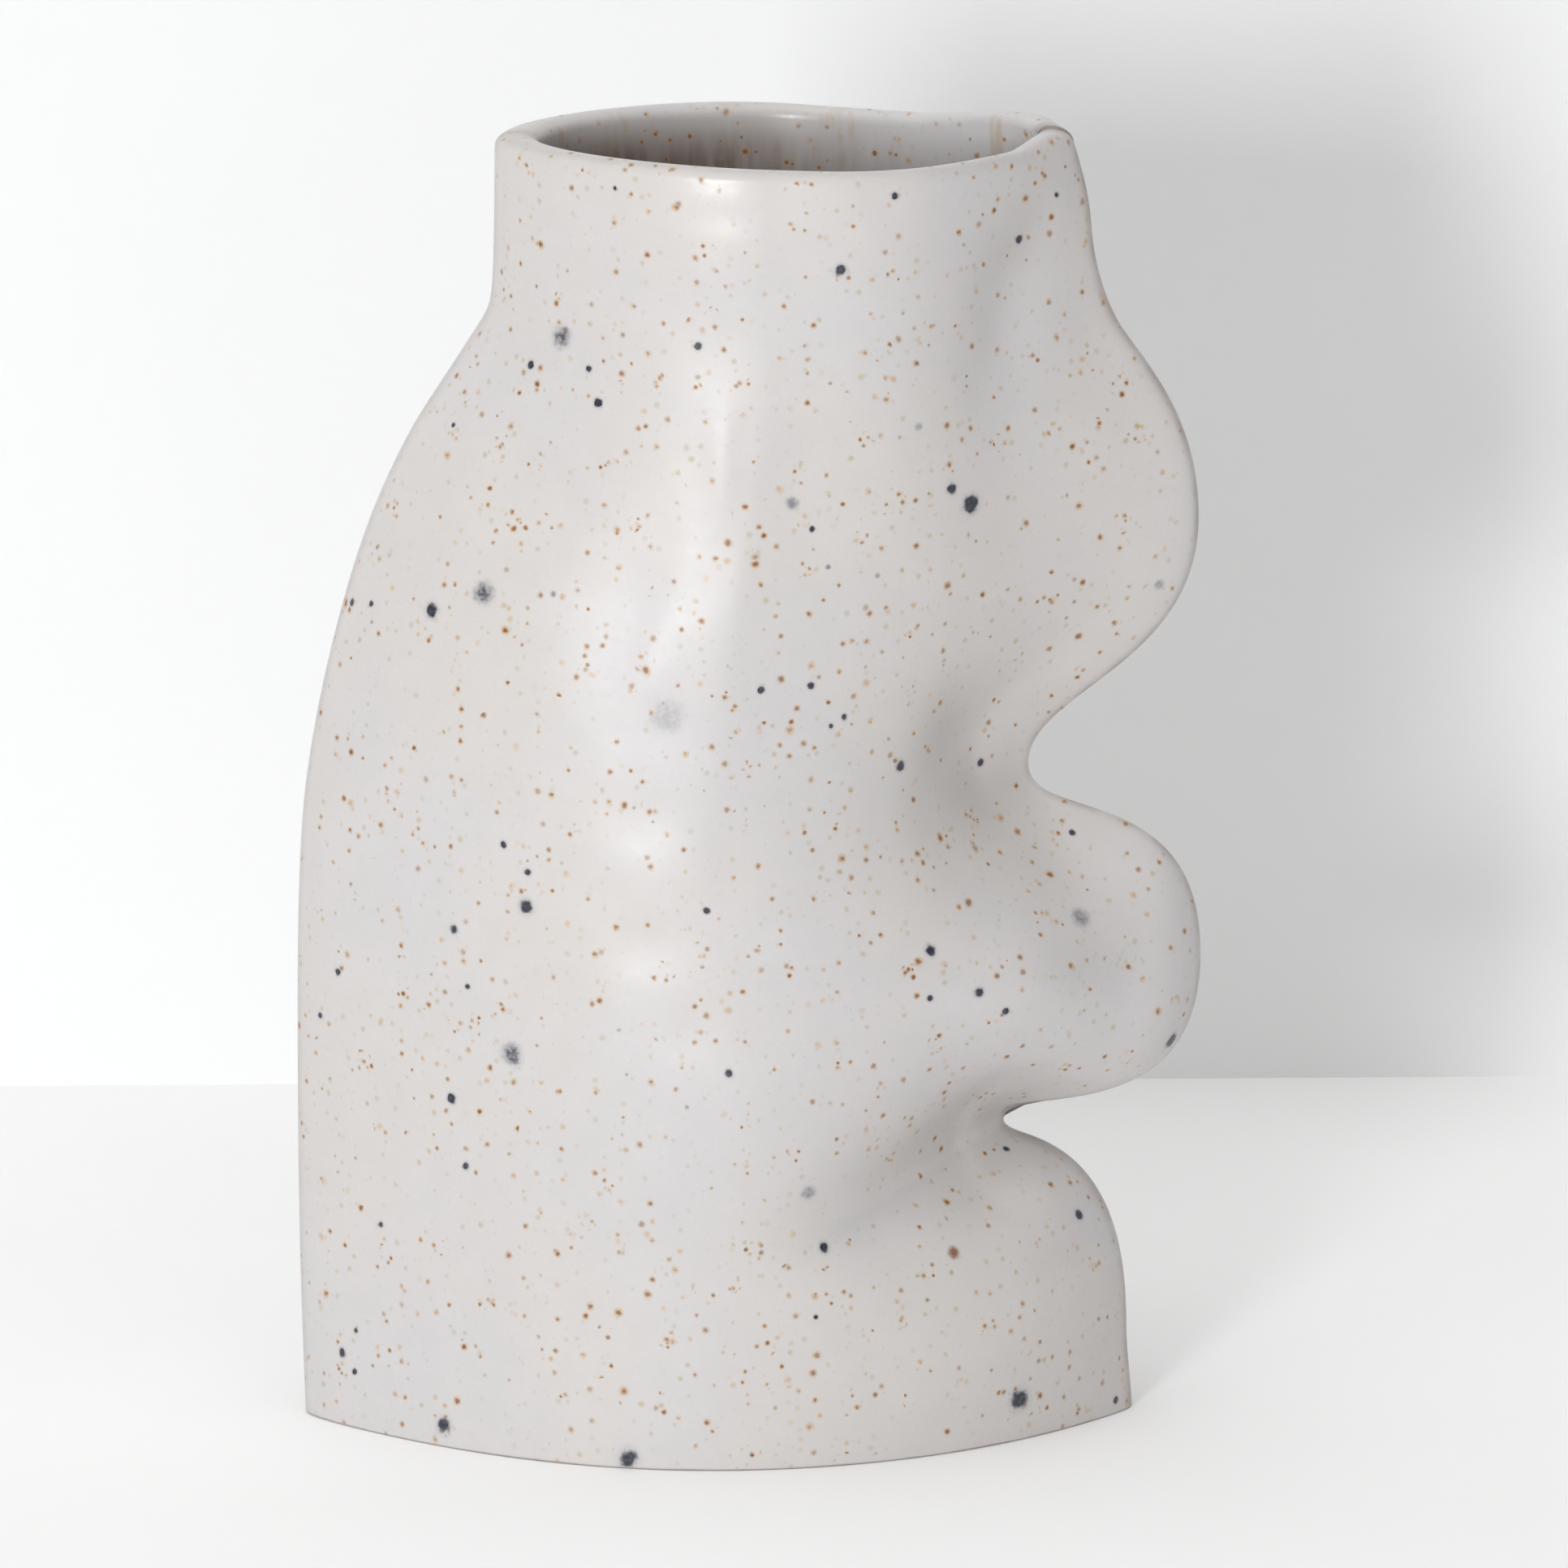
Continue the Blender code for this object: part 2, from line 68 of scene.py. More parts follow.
RIM_Z = HEIGHT - LIP_RADIUS

# Mesh density
ROWS, ROWS_INSIDE = 230, 84     # rows up the outside and the inside
COLUMNS = 96                    # columns between the two edge bands
EDGE_STEPS = (0.0, 0.08, 0.2, 0.4, 0.7, 1.1, 1.6, 2.2, 2.9, 3.6, 4.2)  # band lines from the edge
LIP_RING = 14                   # segments over the lip
FOOT_RING = 4                   # segments round the foot edge

# Side profiles, from the rim down: x, z, lean of the tangent in degrees from
# straight down (positive leans out to +X), upper handle, lower handle.
LEFT_PROFILE = (
    (-34.6, 180.3, 0.0, 0.0, 4.0),      # rim
    (-35.0, 159.5, -4.0, 4.0, 3.9),     # bottom of the straight neck
    (-38.2, 151.4, -32.5, 4.5, 13.0),   # soft corner into the shoulder
    (-49.9, 131.2, -24.5, 10.3, 12.0),  # shoulder
    (-61.0, 88.0, -6.5, 13.0, 12.0),    # hip
    (-62.2, 40.0, 0.0, 14.0, 14.0),     # widest, almost straight
    (-61.4, 0.0, 2.0, 12.0, 0.0),       # foot
)
RIGHT_PROFILE = (
    (43.5, 180.3, 16.0, 0.0, 4.0),      # rim
    (46.5, 167.5, 4.0, 4.5, 5.0),       # neck
    (50.0, 154.3, 27.0, 4.5, 5.1),      # neck opens into the first lobe
    (61.6, 125.7, 0.0, 16.2, 20.7),     # first lobe
    (38.35, 91.5, 0.0, 10.0, 9.0),      # first notch
    (62.2, 64.3, 0.0, 25.2, 26.4),      # second lobe
    (35.1, 41.1, 0.0, 5.6, 3.5),        # second notch
    (52.2, 12.0, 0.0, 29.0, 4.0),       # third lobe
    (53.0, 0.0, 2.0, 4.0, 0.0),         # foot
)

# Half depth at the middle of the section: z, half depth.
FRONT_DEPTH = ((0.0, 32.9), (25.0, 32.5), (55.0, 32.6), (80.0, 30.6), (100.0, 29.1),
               (115.0, 28.3), (130.0, 27.0), (142.0, 26.5), (152.0, 26.2), (160.0, 26.2),
               (168.0, 26.4), (174.0, 26.4), (182.0, 25.5))
BACK_DEPTH = ((0.0, 31.8), (25.0, 32.6), (55.0, 32.9), (80.0, 32.2), (100.0, 31.0),
              (115.0, 29.4), (130.0, 27.3), (142.0, 25.6), (152.0, 24.4), (160.0, 23.9),
              (168.0, 23.9), (182.0, 23.6))

# Shape of the lens section towards each side: z, power (0.5 is an ellipse, 1 a
# parabola).
FULL_LEFT = ((0.0, 0.90), (60.0, 0.88), (120.0, 0.82), (160.0, 0.73), (182.0, 0.62))
FULL_RIGHT = ((0.0, 0.85), (14.0, 0.76), (40.0, 0.68), (120.0, 0.94), (145.0, 0.935),
              (162.0, 0.86), (182.0, 0.71))

# The clay is pinched flat round each notch, with a crease where the pinch meets
# the body: notch x, z, distance of the crease from the edge, its width on the
# edge side and on the body side, reach above and below the notch, and depth.
FRONT_PINCH = (
    (38.4, 91.0, 9.0, 5.2, 7.0, 18.4, 13.0, 4.8),
    (35.1, 41.1, 8.3, 3.6, 6.4, 9.2, 11.5, 2.4),
)
BACK_PINCH = (
    (38.4, 92.0, 10.5, 6.0, 5.5, 15.0, 17.0, 3.0),
    (35.2, 41.3, 9.0, 5.0, 5.0, 8.0, 9.0, 2.0),
)

# Hand-pressed relief: centre x, z, half length, half width on the
# counter-clockwise and clockwise side of the line (x to the right, z up),
# direction in degrees from +X, depth (negative bulges out), and how crisp the
# line is (2 is a soft hollow, 1 a sharp fold).
FRONT_RELIEF = (
    (37.6, 137.5, 39.0, 11.2, 13.4, 97.5, 4.2, 2.0),   # long soft trough down to the first notch
    (34.2, 160.3, 13.8, 3.8, 4.9, 85.0, 1.2, 2.0),     # sharper in the neck
    (44.0, 80.3, 20.0, 9.6, 7.3, -62.0, 4.0, 2.0),     # lower arm of the first crease
    (49.8, 126.5, 12.7, 8.8, 7.2, 83.0, 1.9, 2.0),     # first lobe
    (27.4, 38.3, 13.8, 7.9, 5.3, 21.0, 6.5, 1.5),      # groove running in from the second notch
    (17.3, 36.0, 12.0, 6.3, 6.1, 8.0, 2.5, 2.0),       # where it fans out
    (51.0, 64.0, 18.0, 9.6, 6.2, 80.0, 3.4, 2.0),      # flat on the second lobe
    (-16.5, 116.3, 14.5, 9.9, 9.1, 83.0, 0.8, 2.0),    # flatter palm of the front
    (-1.8, 123.0, 24.0, 7.0, 5.0, 82.0, -0.65, 1.3),   # ridge beside it
)
BACK_RELIEF = (
    (26.0, 39.8, 12.0, 5.0, 4.0, 10.0, 3.4, 1.6),
    (50.0, 62.0, 12.0, 5.5, 5.5, 85.0, 0.5, 2.0),
    (-30.0, 120.0, 20.0, 12.0, 12.0, 60.0, 0.5, 2.0),
    (8.0, 100.0, 24.0, 9.0, 9.0, 80.0, 0.5, 2.0),
)

# Small dents of the front: x, z, reach along and across, depth (negative stands
# out), and the direction of the long side in degrees from +X.
FRONT_DENTS = (
    (-15.3, 90.6, 7.0, 4.6, 0.24, 0.0), (-15.3, 73.0, 6.0, 4.2, 0.20, 0.0),
    (-8.0, 61.0, 8.0, 4.5, 0.24, 0.0), (-3.8, 173.4, 7.0, 2.3, 0.22, 0.0),
    (-4.2, 139.0, 8.0, 2.1, -0.26, 88.0), (-16.0, 122.0, 10.0, 5.0, 0.10, 0.0),
    (-13.5, 113.0, 15.0, 3.0, -0.20, 71.0), (-10.5, 103.0, 7.0, 5.0, 0.10, 0.0),
    (20.0, 152.0, 6.0, 4.0, 0.14, 0.0), (8.0, 142.0, 5.0, 4.0, 0.10, 0.0),
    (-3.0, 156.0, 9.0, 5.0, 0.16, 0.0), (28.2, 99.0, 7.0, 3.2, 0.50, 82.0),
    (35.2, 84.5, 9.0, 3.4, 0.50, -50.0), (36.8, 166.5, 9.0, 3.4, 0.50, 68.0),
    (29.5, 32.0, 9.0, 5.5, -0.50, 18.0), (26.0, 43.8, 8.0, 2.6, 0.35, 28.0),
)

# Painted shade in the creases of the front, darker and browner: x, z,
# reach along and across, strength, direction in degrees from +X.
FRONT_PAINTED_CREASE_SHADE = (
    (25.5, 99.5, 7.5, 3.8, 0.85, 80.0), (30.5, 89.5, 8.0, 4.0, 0.80, -50.0),
    (40.5, 80.5, 9.0, 5.0, 0.50, -45.0), (47.0, 85.0, 8.0, 5.0, 0.35, 80.0),
    (36.5, 168.0, 9.0, 3.8, 0.80, 68.0), (31.5, 157.0, 7.0, 3.6, 0.30, 78.0),
)

# The larger iron spots of the front: x, z, radius, and kind (1 crisp blue-black,
# 0.4 to 0.6 soft grey-blue, 0 rust).
FRONT_SPOTS = (
    (13.3, 177.9, 0.46, 1.0), (19.1, 175.9, 0.46, 1.0), (36.3, 167.4, 0.62, 1.0),
    (11.8, 166.0, 0.72, 1.0), (-7.5, 155.3, 0.51, 1.0), (-25.8, 154.7, 1.16, 0.6),
    (-22.2, 151.0, 0.41, 1.0), (-29.9, 150.3, 0.51, 1.0), (-20.9, 146.6, 0.56, 1.0),
    (22.4, 143.7, 0.43, 0.5), (-40.5, 141.0, 0.31, 1.0), (27.1, 134.5, 0.67, 1.0),
    (5.2, 134.0, 0.66, 0.5), (29.7, 132.0, 1.13, 1.0), (7.9, 130.3, 0.41, 1.0),
    (-36.5, 119.9, 1.16, 0.6), (56.1, 117.1, 0.57, 0.5), (-43.5, 116.5, 0.87, 1.0),
    (-51.7, 115.8, 0.41, 1.0), (-54.3, 115.3, 0.51, 1.0), (7.8, 108.6, 0.46, 1.0),
    (0.9, 108.4, 0.46, 1.0), (-11.6, 104.7, 1.81, 0.4), (12.3, 103.9, 0.41, 1.0),
    (10.5, 102.8, 0.36, 1.0), (20.1, 95.8, 0.67, 1.0), (31.6, 92.9, 0.56, 1.0),
    (-34.0, 85.9, 0.46, 1.0), (-30.7, 82.4, 0.46, 1.0), (44.3, 82.2, 0.46, 1.0),
    (-6.5, 78.3, 0.41, 1.0), (-30.9, 77.7, 0.87, 1.0), (-40.7, 73.3, 0.56, 1.0),
    (45.1, 72.3, 1.04, 0.5), (24.1, 71.3, 0.67, 1.0), (30.7, 65.1, 0.62, 1.0),
    (24.0, 64.9, 0.41, 1.0), (-56.6, 64.4, 0.46, 1.0), (34.4, 62.0, 0.51, 1.0),
    (-59.1, 57.7, 0.41, 1.0), (-33.0, 56.8, 1.16, 0.6), (-3.6, 56.0, 0.51, 1.0),
    (58.0, 53.3, 1.03, 1.0), (-41.2, 49.5, 0.62, 1.0), (-39.3, 40.2, 0.51, 1.0),
    (7.4, 38.5, 0.76, 0.5), (35.3, 37.9, 0.46, 1.0), (9.5, 30.6, 0.67, 1.0),
    (-50.9, 29.8, 0.41, 1.0), (45.2, 29.4, 0.67, 1.0), (27.5, 27.8, 0.70, 0.0),
    (-54.4, 14.0, 0.36, 1.0), (-56.3, 10.4, 0.56, 1.0), (-54.6, 8.1, 0.41, 1.0),
    (36.7, 6.0, 1.33, 1.0), (-42.5, 3.1, 1.03, 1.0), (50.5, 2.0, 0.51, 1.0),
    (-17.3, 1.5, 1.13, 1.0),
)

# Everything that differs between the two walls.
#   sign: which way the wall bulges in Y
#   dip, dip_x, dip_reach: hollow of the hand-cut rim
#   climb, climb_start, climb_length: its rise, with x counted from the lobed end
#   random_spots: spots added to the placed ones; large_share: part of them that is large
#   thin_row, thin_lip: rows from the lip crest to the thin glaze, and its strength
FRONT = SimpleNamespace(
    sign=-1, depths=FRONT_DEPTH, pinches=FRONT_PINCH, presses=FRONT_RELIEF,
    dip=-0.95, dip_x=17.0, dip_reach=24.0, climb=1.7, climb_start=-6.0, climb_length=6.5,
    mark_seed=11, dents=FRONT_DENTS, painted_crease_shade=FRONT_PAINTED_CREASE_SHADE,
    spots=FRONT_SPOTS, spot_seed=2024, random_spots=5, large_share=0.0,
    thin_row=-2.5, thin_lip=0.25)
BACK = SimpleNamespace(
    sign=+1, depths=BACK_DEPTH, pinches=BACK_PINCH, presses=BACK_RELIEF,
    dip=-0.5, dip_x=12.0, dip_reach=12.0, climb=1.8, climb_start=-19.0, climb_length=17.0,
    mark_seed=53, dents=(), painted_crease_shade=(),
    spots=(), spot_seed=77, random_spots=60, large_share=0.25,
    thin_row=-3.5, thin_lip=0.75)


# ----------------------------------------------------------------------------
# Curves
# ----------------------------------------------------------------------------
def smooth(t):
    t = np.clip(t, 0.0, 1.0)
    return t * t * (3.0 - 2.0 * t)


def rise(value, start, length):
    """Smooth step from 0 at start to 1 a length further on."""
    return smooth((value - start) / length)


def curve(z, stations):
    """Smooth curve through (height, value) stations (cubic Hermite)."""
    heights = np.array([s[0] for s in stations])
    values = np.array([s[1] for s in stations])
    slopes = np.gradient(values, heights)
    i = np.clip(np.searchsorted(heights, z) - 1, 0, len(heights) - 2)
    span = heights[i + 1] - heights[i]
    t = np.clip((z - heights[i]) / span, 0.0, 1.0)
    return ((2 * t ** 3 - 3 * t ** 2 + 1) * values[i]
            + (t ** 3 - 2 * t ** 2 + t) * span * slopes[i]
            + (3 * t ** 2 - 2 * t ** 3) * values[i + 1]
            + (t ** 3 - t ** 2) * span * slopes[i + 1])


def local_axes(x, z, centre_x, centre_z, angle):
    """Coordinates along and across a direction through a centre."""
    cos, sin = math.cos(math.radians(angle)), math.sin(math.radians(angle))
    dx, dz = x - centre_x, z - centre_z
    return dx * cos + dz * sin, -dx * sin + dz * cos


def soft_oval(x, z, centre_x, centre_z, along, across, angle):
    """Bell-shaped oval mark, 1 at its centre."""
    u, v = local_axes(x, z, centre_x, centre_z, angle)
    return np.exp(-(u / along) ** 2 - (v / across) ** 2)


def lattice_noise(u, v, seed):
    """Smooth repeatable noise over a plane, about -1 to 1."""
    size = 64
    lattice = np.random.default_rng(seed).uniform(-1.0, 1.0, (size, size))
    i, j = np.floor(u).astype(int), np.floor(v).astype(int)
    a, b = smooth(u - i), smooth(v - j)

    def at(p, q):
        return lattice[p % size, q % size]

    return ((at(i, j) * (1 - a) + at(i + 1, j) * a) * (1 - b)
            + (at(i, j + 1) * (1 - a) + at(i + 1, j + 1) * a) * b)


# ----------------------------------------------------------------------------
# Side profiles
# ----------------------------------------------------------------------------
def bezier_profile(knots, resolution=48):
    """Bezier side profile as an (n, 2) array, from the foot up to the rim."""
    def downward(lean):
        return Vector((math.sin(math.radians(lean)), -math.cos(math.radians(lean)), 0.0))

    points = []
    for upper, lower in zip(knots[:-1], knots[1:]):
        start = Vector((upper[0], upper[1], 0.0))
        end = Vector((lower[0], lower[1], 0.0))
        span = interpolate_bezier(start, start + downward(upper[2]) * upper[4],
                                  end - downward(lower[2]) * lower[3], end, resolution)
        points.extend(span if not points else span[1:])
    return np.array([(p.x, p.y) for p in points])[::-1]


def clip_profile(line, bottom, top, clearance=1e-4):
    """Keep the profile between two heights, with exact end points."""
    def at(z):
        above = np.nonzero(line[:, 1] >= z)[0][0]
        p, q = line[above - 1], line[above]
        return p + (q - p) * ((z - p[1]) / (q[1] - p[1]))

    z = line[:, 1]
    inside = line[(z > bottom + clearance) & (z < top - clearance)]
    # the end of a bezier can fall a hair above or below its knot
    start = line[0] if bottom <= line[0, 1] else at(bottom)
    return np.vstack([start, inside, at(top)])


def resample(line, count, turn_weight=1.6):
    """Points spread along a line by length, closer together where it turns."""
    step = np.diff(line, axis=0)
    length = np.hypot(step[:, 0], step[:, 1])
    heading = np.unwrap(np.arctan2(step[:, 1], step[:, 0]))
    turn = np.zeros(len(length))
    turn[1:] += 0.5 * np.abs(np.diff(heading))
    turn[:-1] += 0.5 * np.abs(np.diff(heading))
    run = np.concatenate([[0.0], np.cumsum(length + turn_weight * turn)])
    wanted = np.linspace(0.0, run[-1], count)
    return np.stack([np.interp(wanted, run, line[:, k]) for k in (0, 1)], axis=1)


def inward(points, sign, level_reach=7.0):
    """Unit normals that point into the vase; level at the foot and the rim."""
    tangent = np.gradient(points, axis=0)
    tangent /= np.linalg.norm(tangent, axis=1)[:, None]
    normal = np.stack([tangent[:, 1], -tangent[:, 0]], axis=1) * sign
    z = points[:, 1]
    normal[:, 1] *= smooth((z - z[0]) / level_reach) * smooth((z[-1] - z) / level_reach)
    return normal / np.linalg.norm(normal, axis=1)[:, None]


def wall_at(z):
    return WALL + (WALL_RIM - WALL) * rise(z, start=168.0, length=10.0)


def inset(line, sign, web):
    """Side profile of the hollow: one wall thickness inside, and up to a further
    web thickness in the neck, where the corners of the mouth are full."""
    fine = resample(line, 500)
    z = fine[:, 1]
    depth = wall_at(z) + web * rise(z, start=130.0, length=45.0)
    return fine + inward(fine, sign) * depth[:, None]


OUT_LEFT = clip_profile(bezier_profile(LEFT_PROFILE), 0.0, RIM_Z)
OUT_RIGHT = clip_profile(bezier_profile(RIGHT_PROFILE), 0.0, RIM_Z)
OUTSIDE = SimpleNamespace(left=OUT_LEFT, right=OUT_RIGHT, hollow=False,
                          rounds=(ROUND_LEFT, ROUND_RIGHT))
INSIDE = SimpleNamespace(left=inset(OUT_LEFT, 1.0, WEB_LEFT),
                         right=inset(OUT_RIGHT, -1.0, WEB_RIGHT), hollow=True,
                         rounds=(ROUND_INSIDE, ROUND_INSIDE))


# ----------------------------------------------------------------------------
# Lens section
# ----------------------------------------------------------------------------
def edge_distance(x, z, line, extension=80, bit_length=0.5, batch=2000):
    """Distance from (x, z) to a profile that runs on straight at both ends.

    Close to the edge it is the true distance.  Deeper inside it turns into an
    inverse-power average over the whole edge, which has no creases.
    """
    low = line[0] + np.outer(np.arange(-extension, 0), (0.0, 1.0))
    high = line[-1] + np.outer(np.arange(1, extension + 1), (0.0, 1.0))
    path = np.vstack([low, line, high])
    segments = np.diff(path, axis=0)
    counts = np.ceil(np.hypot(segments[:, 0], segments[:, 1]) / bit_length).astype(int)
    bits, lengths = [], []
    for start, segment, count in zip(path[:-1], segments, np.maximum(1, counts)):
        bits.append(start + np.outer((np.arange(count) + 0.5) / count, segment))
        lengths.append(np.full(count, np.hypot(*segment) / count))
    bits, lengths = np.vstack(bits), np.concatenate(lengths)
    half = 0.5 * lengths
    # what 1 / d^6 adds up to along an endless straight edge at distance 1
    straight = math.sqrt(math.pi) * math.gamma(2.5) / math.gamma(3.0)

    flat = np.stack([x.ravel(), z.ravel()], axis=1)
    out = np.empty(len(flat))
    for i in range(0, len(flat), batch):
        points = flat[i:i + batch]
        squared = ((points[:, None, :] - bits[None]) ** 2).sum(axis=2)
        near = squared.argmin(axis=1)
        ahead = bits[np.minimum(near + 1, len(bits) - 1)] - bits[np.maximum(near - 1, 0)]
        ahead /= np.linalg.norm(ahead, axis=1)[:, None]
        offset = points - bits[near]
        along = np.clip((offset * ahead).sum(axis=1), -half[near], half[near])
        true = np.linalg.norm(offset - ahead * along[:, None], axis=1)
        mean = (lengths[None] / np.maximum(squared, 0.04) ** 3).sum(axis=1) / straight
        averaged = mean ** -0.2
        share = rise(true, start=1.5, length=4.5)
        out[i:i + batch] = true * (1.0 - share) + averaged * share
    return out.reshape(x.shape)


def relief(x, z, presses):
    total = np.zeros_like(x)
    for centre_x, centre_z, length, left, right, angle, depth, crisp in presses:
        along, across = local_axes(x, z, centre_x, centre_z, angle)
        across = np.abs(across) / np.where(across > 0.0, left, right)
        total += depth * np.exp(-(along / length) ** 2 - across ** crisp)
    return total


def pinched(z, edge, pinches):
    """Depth of the crease that follows the lobed edge round each notch."""
    total = np.zeros_like(z)
    for _, notch_z, crease, edge_side, body_side, above, below, depth in pinches:
        across = np.abs(edge - crease) / np.where(edge < crease, edge_side, body_side)
        along = np.where(z > notch_z, (z - notch_z) / above, (z - notch_z) / below)
        total += depth * np.exp(-across ** 1.6 - along ** 2)
    return total


def mid_surface(x, z):
    """Y of the surface that the two walls meet on."""
    return (-NECK_SWING * rise(x, start=2.0, length=28.0)
            * rise(z, start=118.0, length=48.0))


def half_depth(x, z, side, skin):
    """Half depth of a lens section that is zero on both side profiles."""
    to_left = edge_distance(x, z, skin.left)
    to_right = edge_distance(x, z, skin.right)
    whole = to_left + to_right
    thinner = wall_at(z) if skin.hollow else 0.0
    full = ((curve(z, side.depths) - thinner)
            * (2.0 * to_left / whole) ** curve(z, FULL_LEFT)
            * (2.0 * to_right / whole) ** curve(z, FULL_RIGHT))
    rounding = sum(2.0 * radius * edge * np.exp(-edge / reach)
                   for (radius, reach), edge in zip(skin.rounds, (to_left, to_right)))
    pressed = (relief(x, z, side.presses)
               + pinched(z, edge_distance(x, z, OUT_RIGHT), side.pinches))
    depth = np.sqrt(full ** 2 + rounding)
    # a press can thin the section but never close it; a bulge fades at the edge
    bulge = -np.minimum(pressed, 0.0) * smooth(np.minimum(to_left, to_right) / 5.0)
    return depth * np.exp(-np.maximum(pressed, 0.0) / np.maximum(depth, 0.05)) + bulge


# ----------------------------------------------------------------------------
# Wall surfaces
# ----------------------------------------------------------------------------
def relax(grid, rounds=260):
    """Even out a structured grid between fixed borders (inverse Laplace rule)."""
    for _ in range(rounds):
        east, west = grid[1:-1, 2:], grid[1:-1, :-2]
        north, south = grid[2:, 1:-1], grid[:-2, 1:-1]
        upward = ((north - south) ** 2).sum(axis=-1, keepdims=True) / 4.0
        sideways = ((east - west) ** 2).sum(axis=-1, keepdims=True) / 4.0
        skew = ((east - west) * (north - south)).sum(axis=-1, keepdims=True) / 4.0
        cross = (grid[2:, 2:] - grid[:-2, 2:] - grid[2:, :-2] + grid[:-2, :-2]) / 4.0
        grid[1:-1, 1:-1] = ((upward * (east + west) + sideways * (north + south)
                             - 2.0 * skew * cross) / (2.0 * (upward + sideways)))
    return grid


def surface_grid(left, right, rows):
    """(rows, columns) grids of x and z over the region between two side profiles.

    Bands of lines parallel to each side resolve the rounded edges; the middle
    is a relaxed grid between the bands.
    """
    left, right = resample(left, rows), resample(right, rows)
    steps = np.array(EDGE_STEPS)
    left_band = left[:, None] + steps[None, :, None] * inward(left, 1.0)[:, None]
    right_band = right[:, None] + steps[None, ::-1, None] * inward(right, -1.0)[:, None]
    t = np.linspace(0.0, 1.0, COLUMNS)
    a, b = left_band[:, -1], right_band[:, 0]
    x = a[:, :1] + (b[:, :1] - a[:, :1]) * t
    z = a[:, 1:] + (b[:, 1:] - a[:, 1:]) * smooth(t)
    middle = relax(np.stack([x, z], axis=2))
    grid = np.concatenate([left_band[:, :-1], middle, right_band[:, 1:]], axis=1)
    return grid[..., 0], grid[..., 1]


def rim_cut(x, z, side, tip):
    """Height of the hand-cut rim over level.

    It dips along the middle and climbs to the lobed end, whose x is tip.  The
    very corner is rounded off again.
    """
    cut = (side.dip * np.exp(-((x - side.dip_x) / side.dip_reach) ** 2)
           + side.climb * rise(x - tip, side.climb_start, side.climb_length))
    corner = 1.0 - 0.6 * rise(x, start=41.0, length=3.2)
    return cut * corner * rise(z, start=140.0, length=38.0)


def wall_surface(side, skin, rows):
    """(rows, columns, 3) points of the outside or the inside of one wall."""
    x, z = surface_grid(skin.left, skin.right, rows)
    depth = half_depth(x, z, side, skin)
    depth[:, 0] = depth[:, -1] = 0.0
    y = mid_surface(x, z) + side.sign * depth
    return np.stack([x, y, z + rim_cut(x, z, side, tip=skin.right[-1, 0])], axis=2)


def hand_marks(x, z, side):
    """Small unevenness left by hands and ribs (mm, outwards)."""
    seed = side.mark_seed
    broad = lattice_noise(x / 21.0 + 3.1, z / 30.0 + 7.7, seed)           # 21 by 30 mm
    middling = lattice_noise(x / 9.0 + z / 60.0, z / 14.0, seed + 1)      # 9 by 14 mm, leaning
    small = lattice_noise(x / 4.4, z / 6.3 + x / 30.0, seed + 2)          # 4.4 by 6.3 mm
    marks = 0.14 * broad + 0.075 * middling + 0.024 * small
    for centre_x, centre_z, along, across, depth, angle in side.dents:
        marks = marks - depth * soft_oval(x, z, centre_x, centre_z, along, across, angle)
    return marks


def wall_loops(side):
    """Section loops of one wall from left to right, (columns, points, 3) in mm.

    Each runs round the foot edge, up the outside, over the lip and down the inside.
    """
    outer = wall_surface(side, OUTSIDE, ROWS)
    inner = wall_surface(side, INSIDE, ROWS_INSIDE)
    x, z = outer[..., 0], outer[..., 2]
    edge = np.minimum(edge_distance(x, z, OUT_LEFT), edge_distance(x, z, OUT_RIGHT))
    # the marks fade towards the seams, the foot and the rim
    keep = smooth(edge / 7.0) * smooth(z / 8.0) * smooth((HEIGHT - z) / 9.0)
    outer[..., 1] += side.sign * hand_marks(x, z, side) * keep

    loops = []
    for column in range(outer.shape[1]):
        out, inn = outer[:, column], inner[:, column]
        into = inn[0] - out[0]
        into = into / np.linalg.norm(into)
        loop = []
        for k in range(FOOT_RING + 1):
            angle = 0.5 * math.pi * k / FOOT_RING
            p = out[0] + into * ARRIS * (1.0 - math.sin(angle))
            loop.append((p[0], p[1], ARRIS * (1.0 - math.cos(angle))))
        # rows that would crowd the foot edge are left out
        loop += [p for p in out[1:] if p[2] > ARRIS * 1.35]
        middle, arm = (out[-1] + inn[-1]) / 2.0, (out[-1] - inn[-1]) / 2.0
        for k in range(1, LIP_RING):
            angle = math.pi * k / LIP_RING
            cos, sin = math.cos(angle), math.sin(angle)
            lift = np.array([0.0, 0.0, LIP_RADIUS * sin ** LIP_POWER])
            loop.append(middle + arm * math.copysign(abs(cos) ** LIP_POWER, cos) + lift)
        loop += list(inn[::-1])
        loops.append(np.array(loop))
    return np.array(loops)


# ----------------------------------------------------------------------------
# Wall meshes
# ----------------------------------------------------------------------------
def ring_normals(front, back):
    """Vertex normals of the whole closed wall, so that no seam shows."""
    ring = np.concatenate([front, back[-2:0:-1]], axis=0)
    next_column, next_row = np.roll(ring, -1, axis=0), np.roll(ring, -1, axis=1)
    diagonal = np.roll(next_column, -1, axis=1)
    face = np.cross(diagonal - ring, next_row - next_column)
    face /= np.maximum(np.linalg.norm(face, axis=2), 1e-12)[..., None]
    normal = (face + np.roll(face, 1, axis=0) + np.roll(face, 1, axis=1)
              + np.roll(np.roll(face, 1, axis=0), 1, axis=1))
    normal /= np.linalg.norm(normal, axis=2)[..., None]
    columns = len(front)
    # a point low on the outside of the front has to face -Y
    if normal[columns // 2, FOOT_RING + 20, 1] > 0.0:
        normal = -normal
    back_normal = np.concatenate([normal[columns - 1:], normal[:1]], axis=0)[::-1]
    return normal[:columns], back_normal


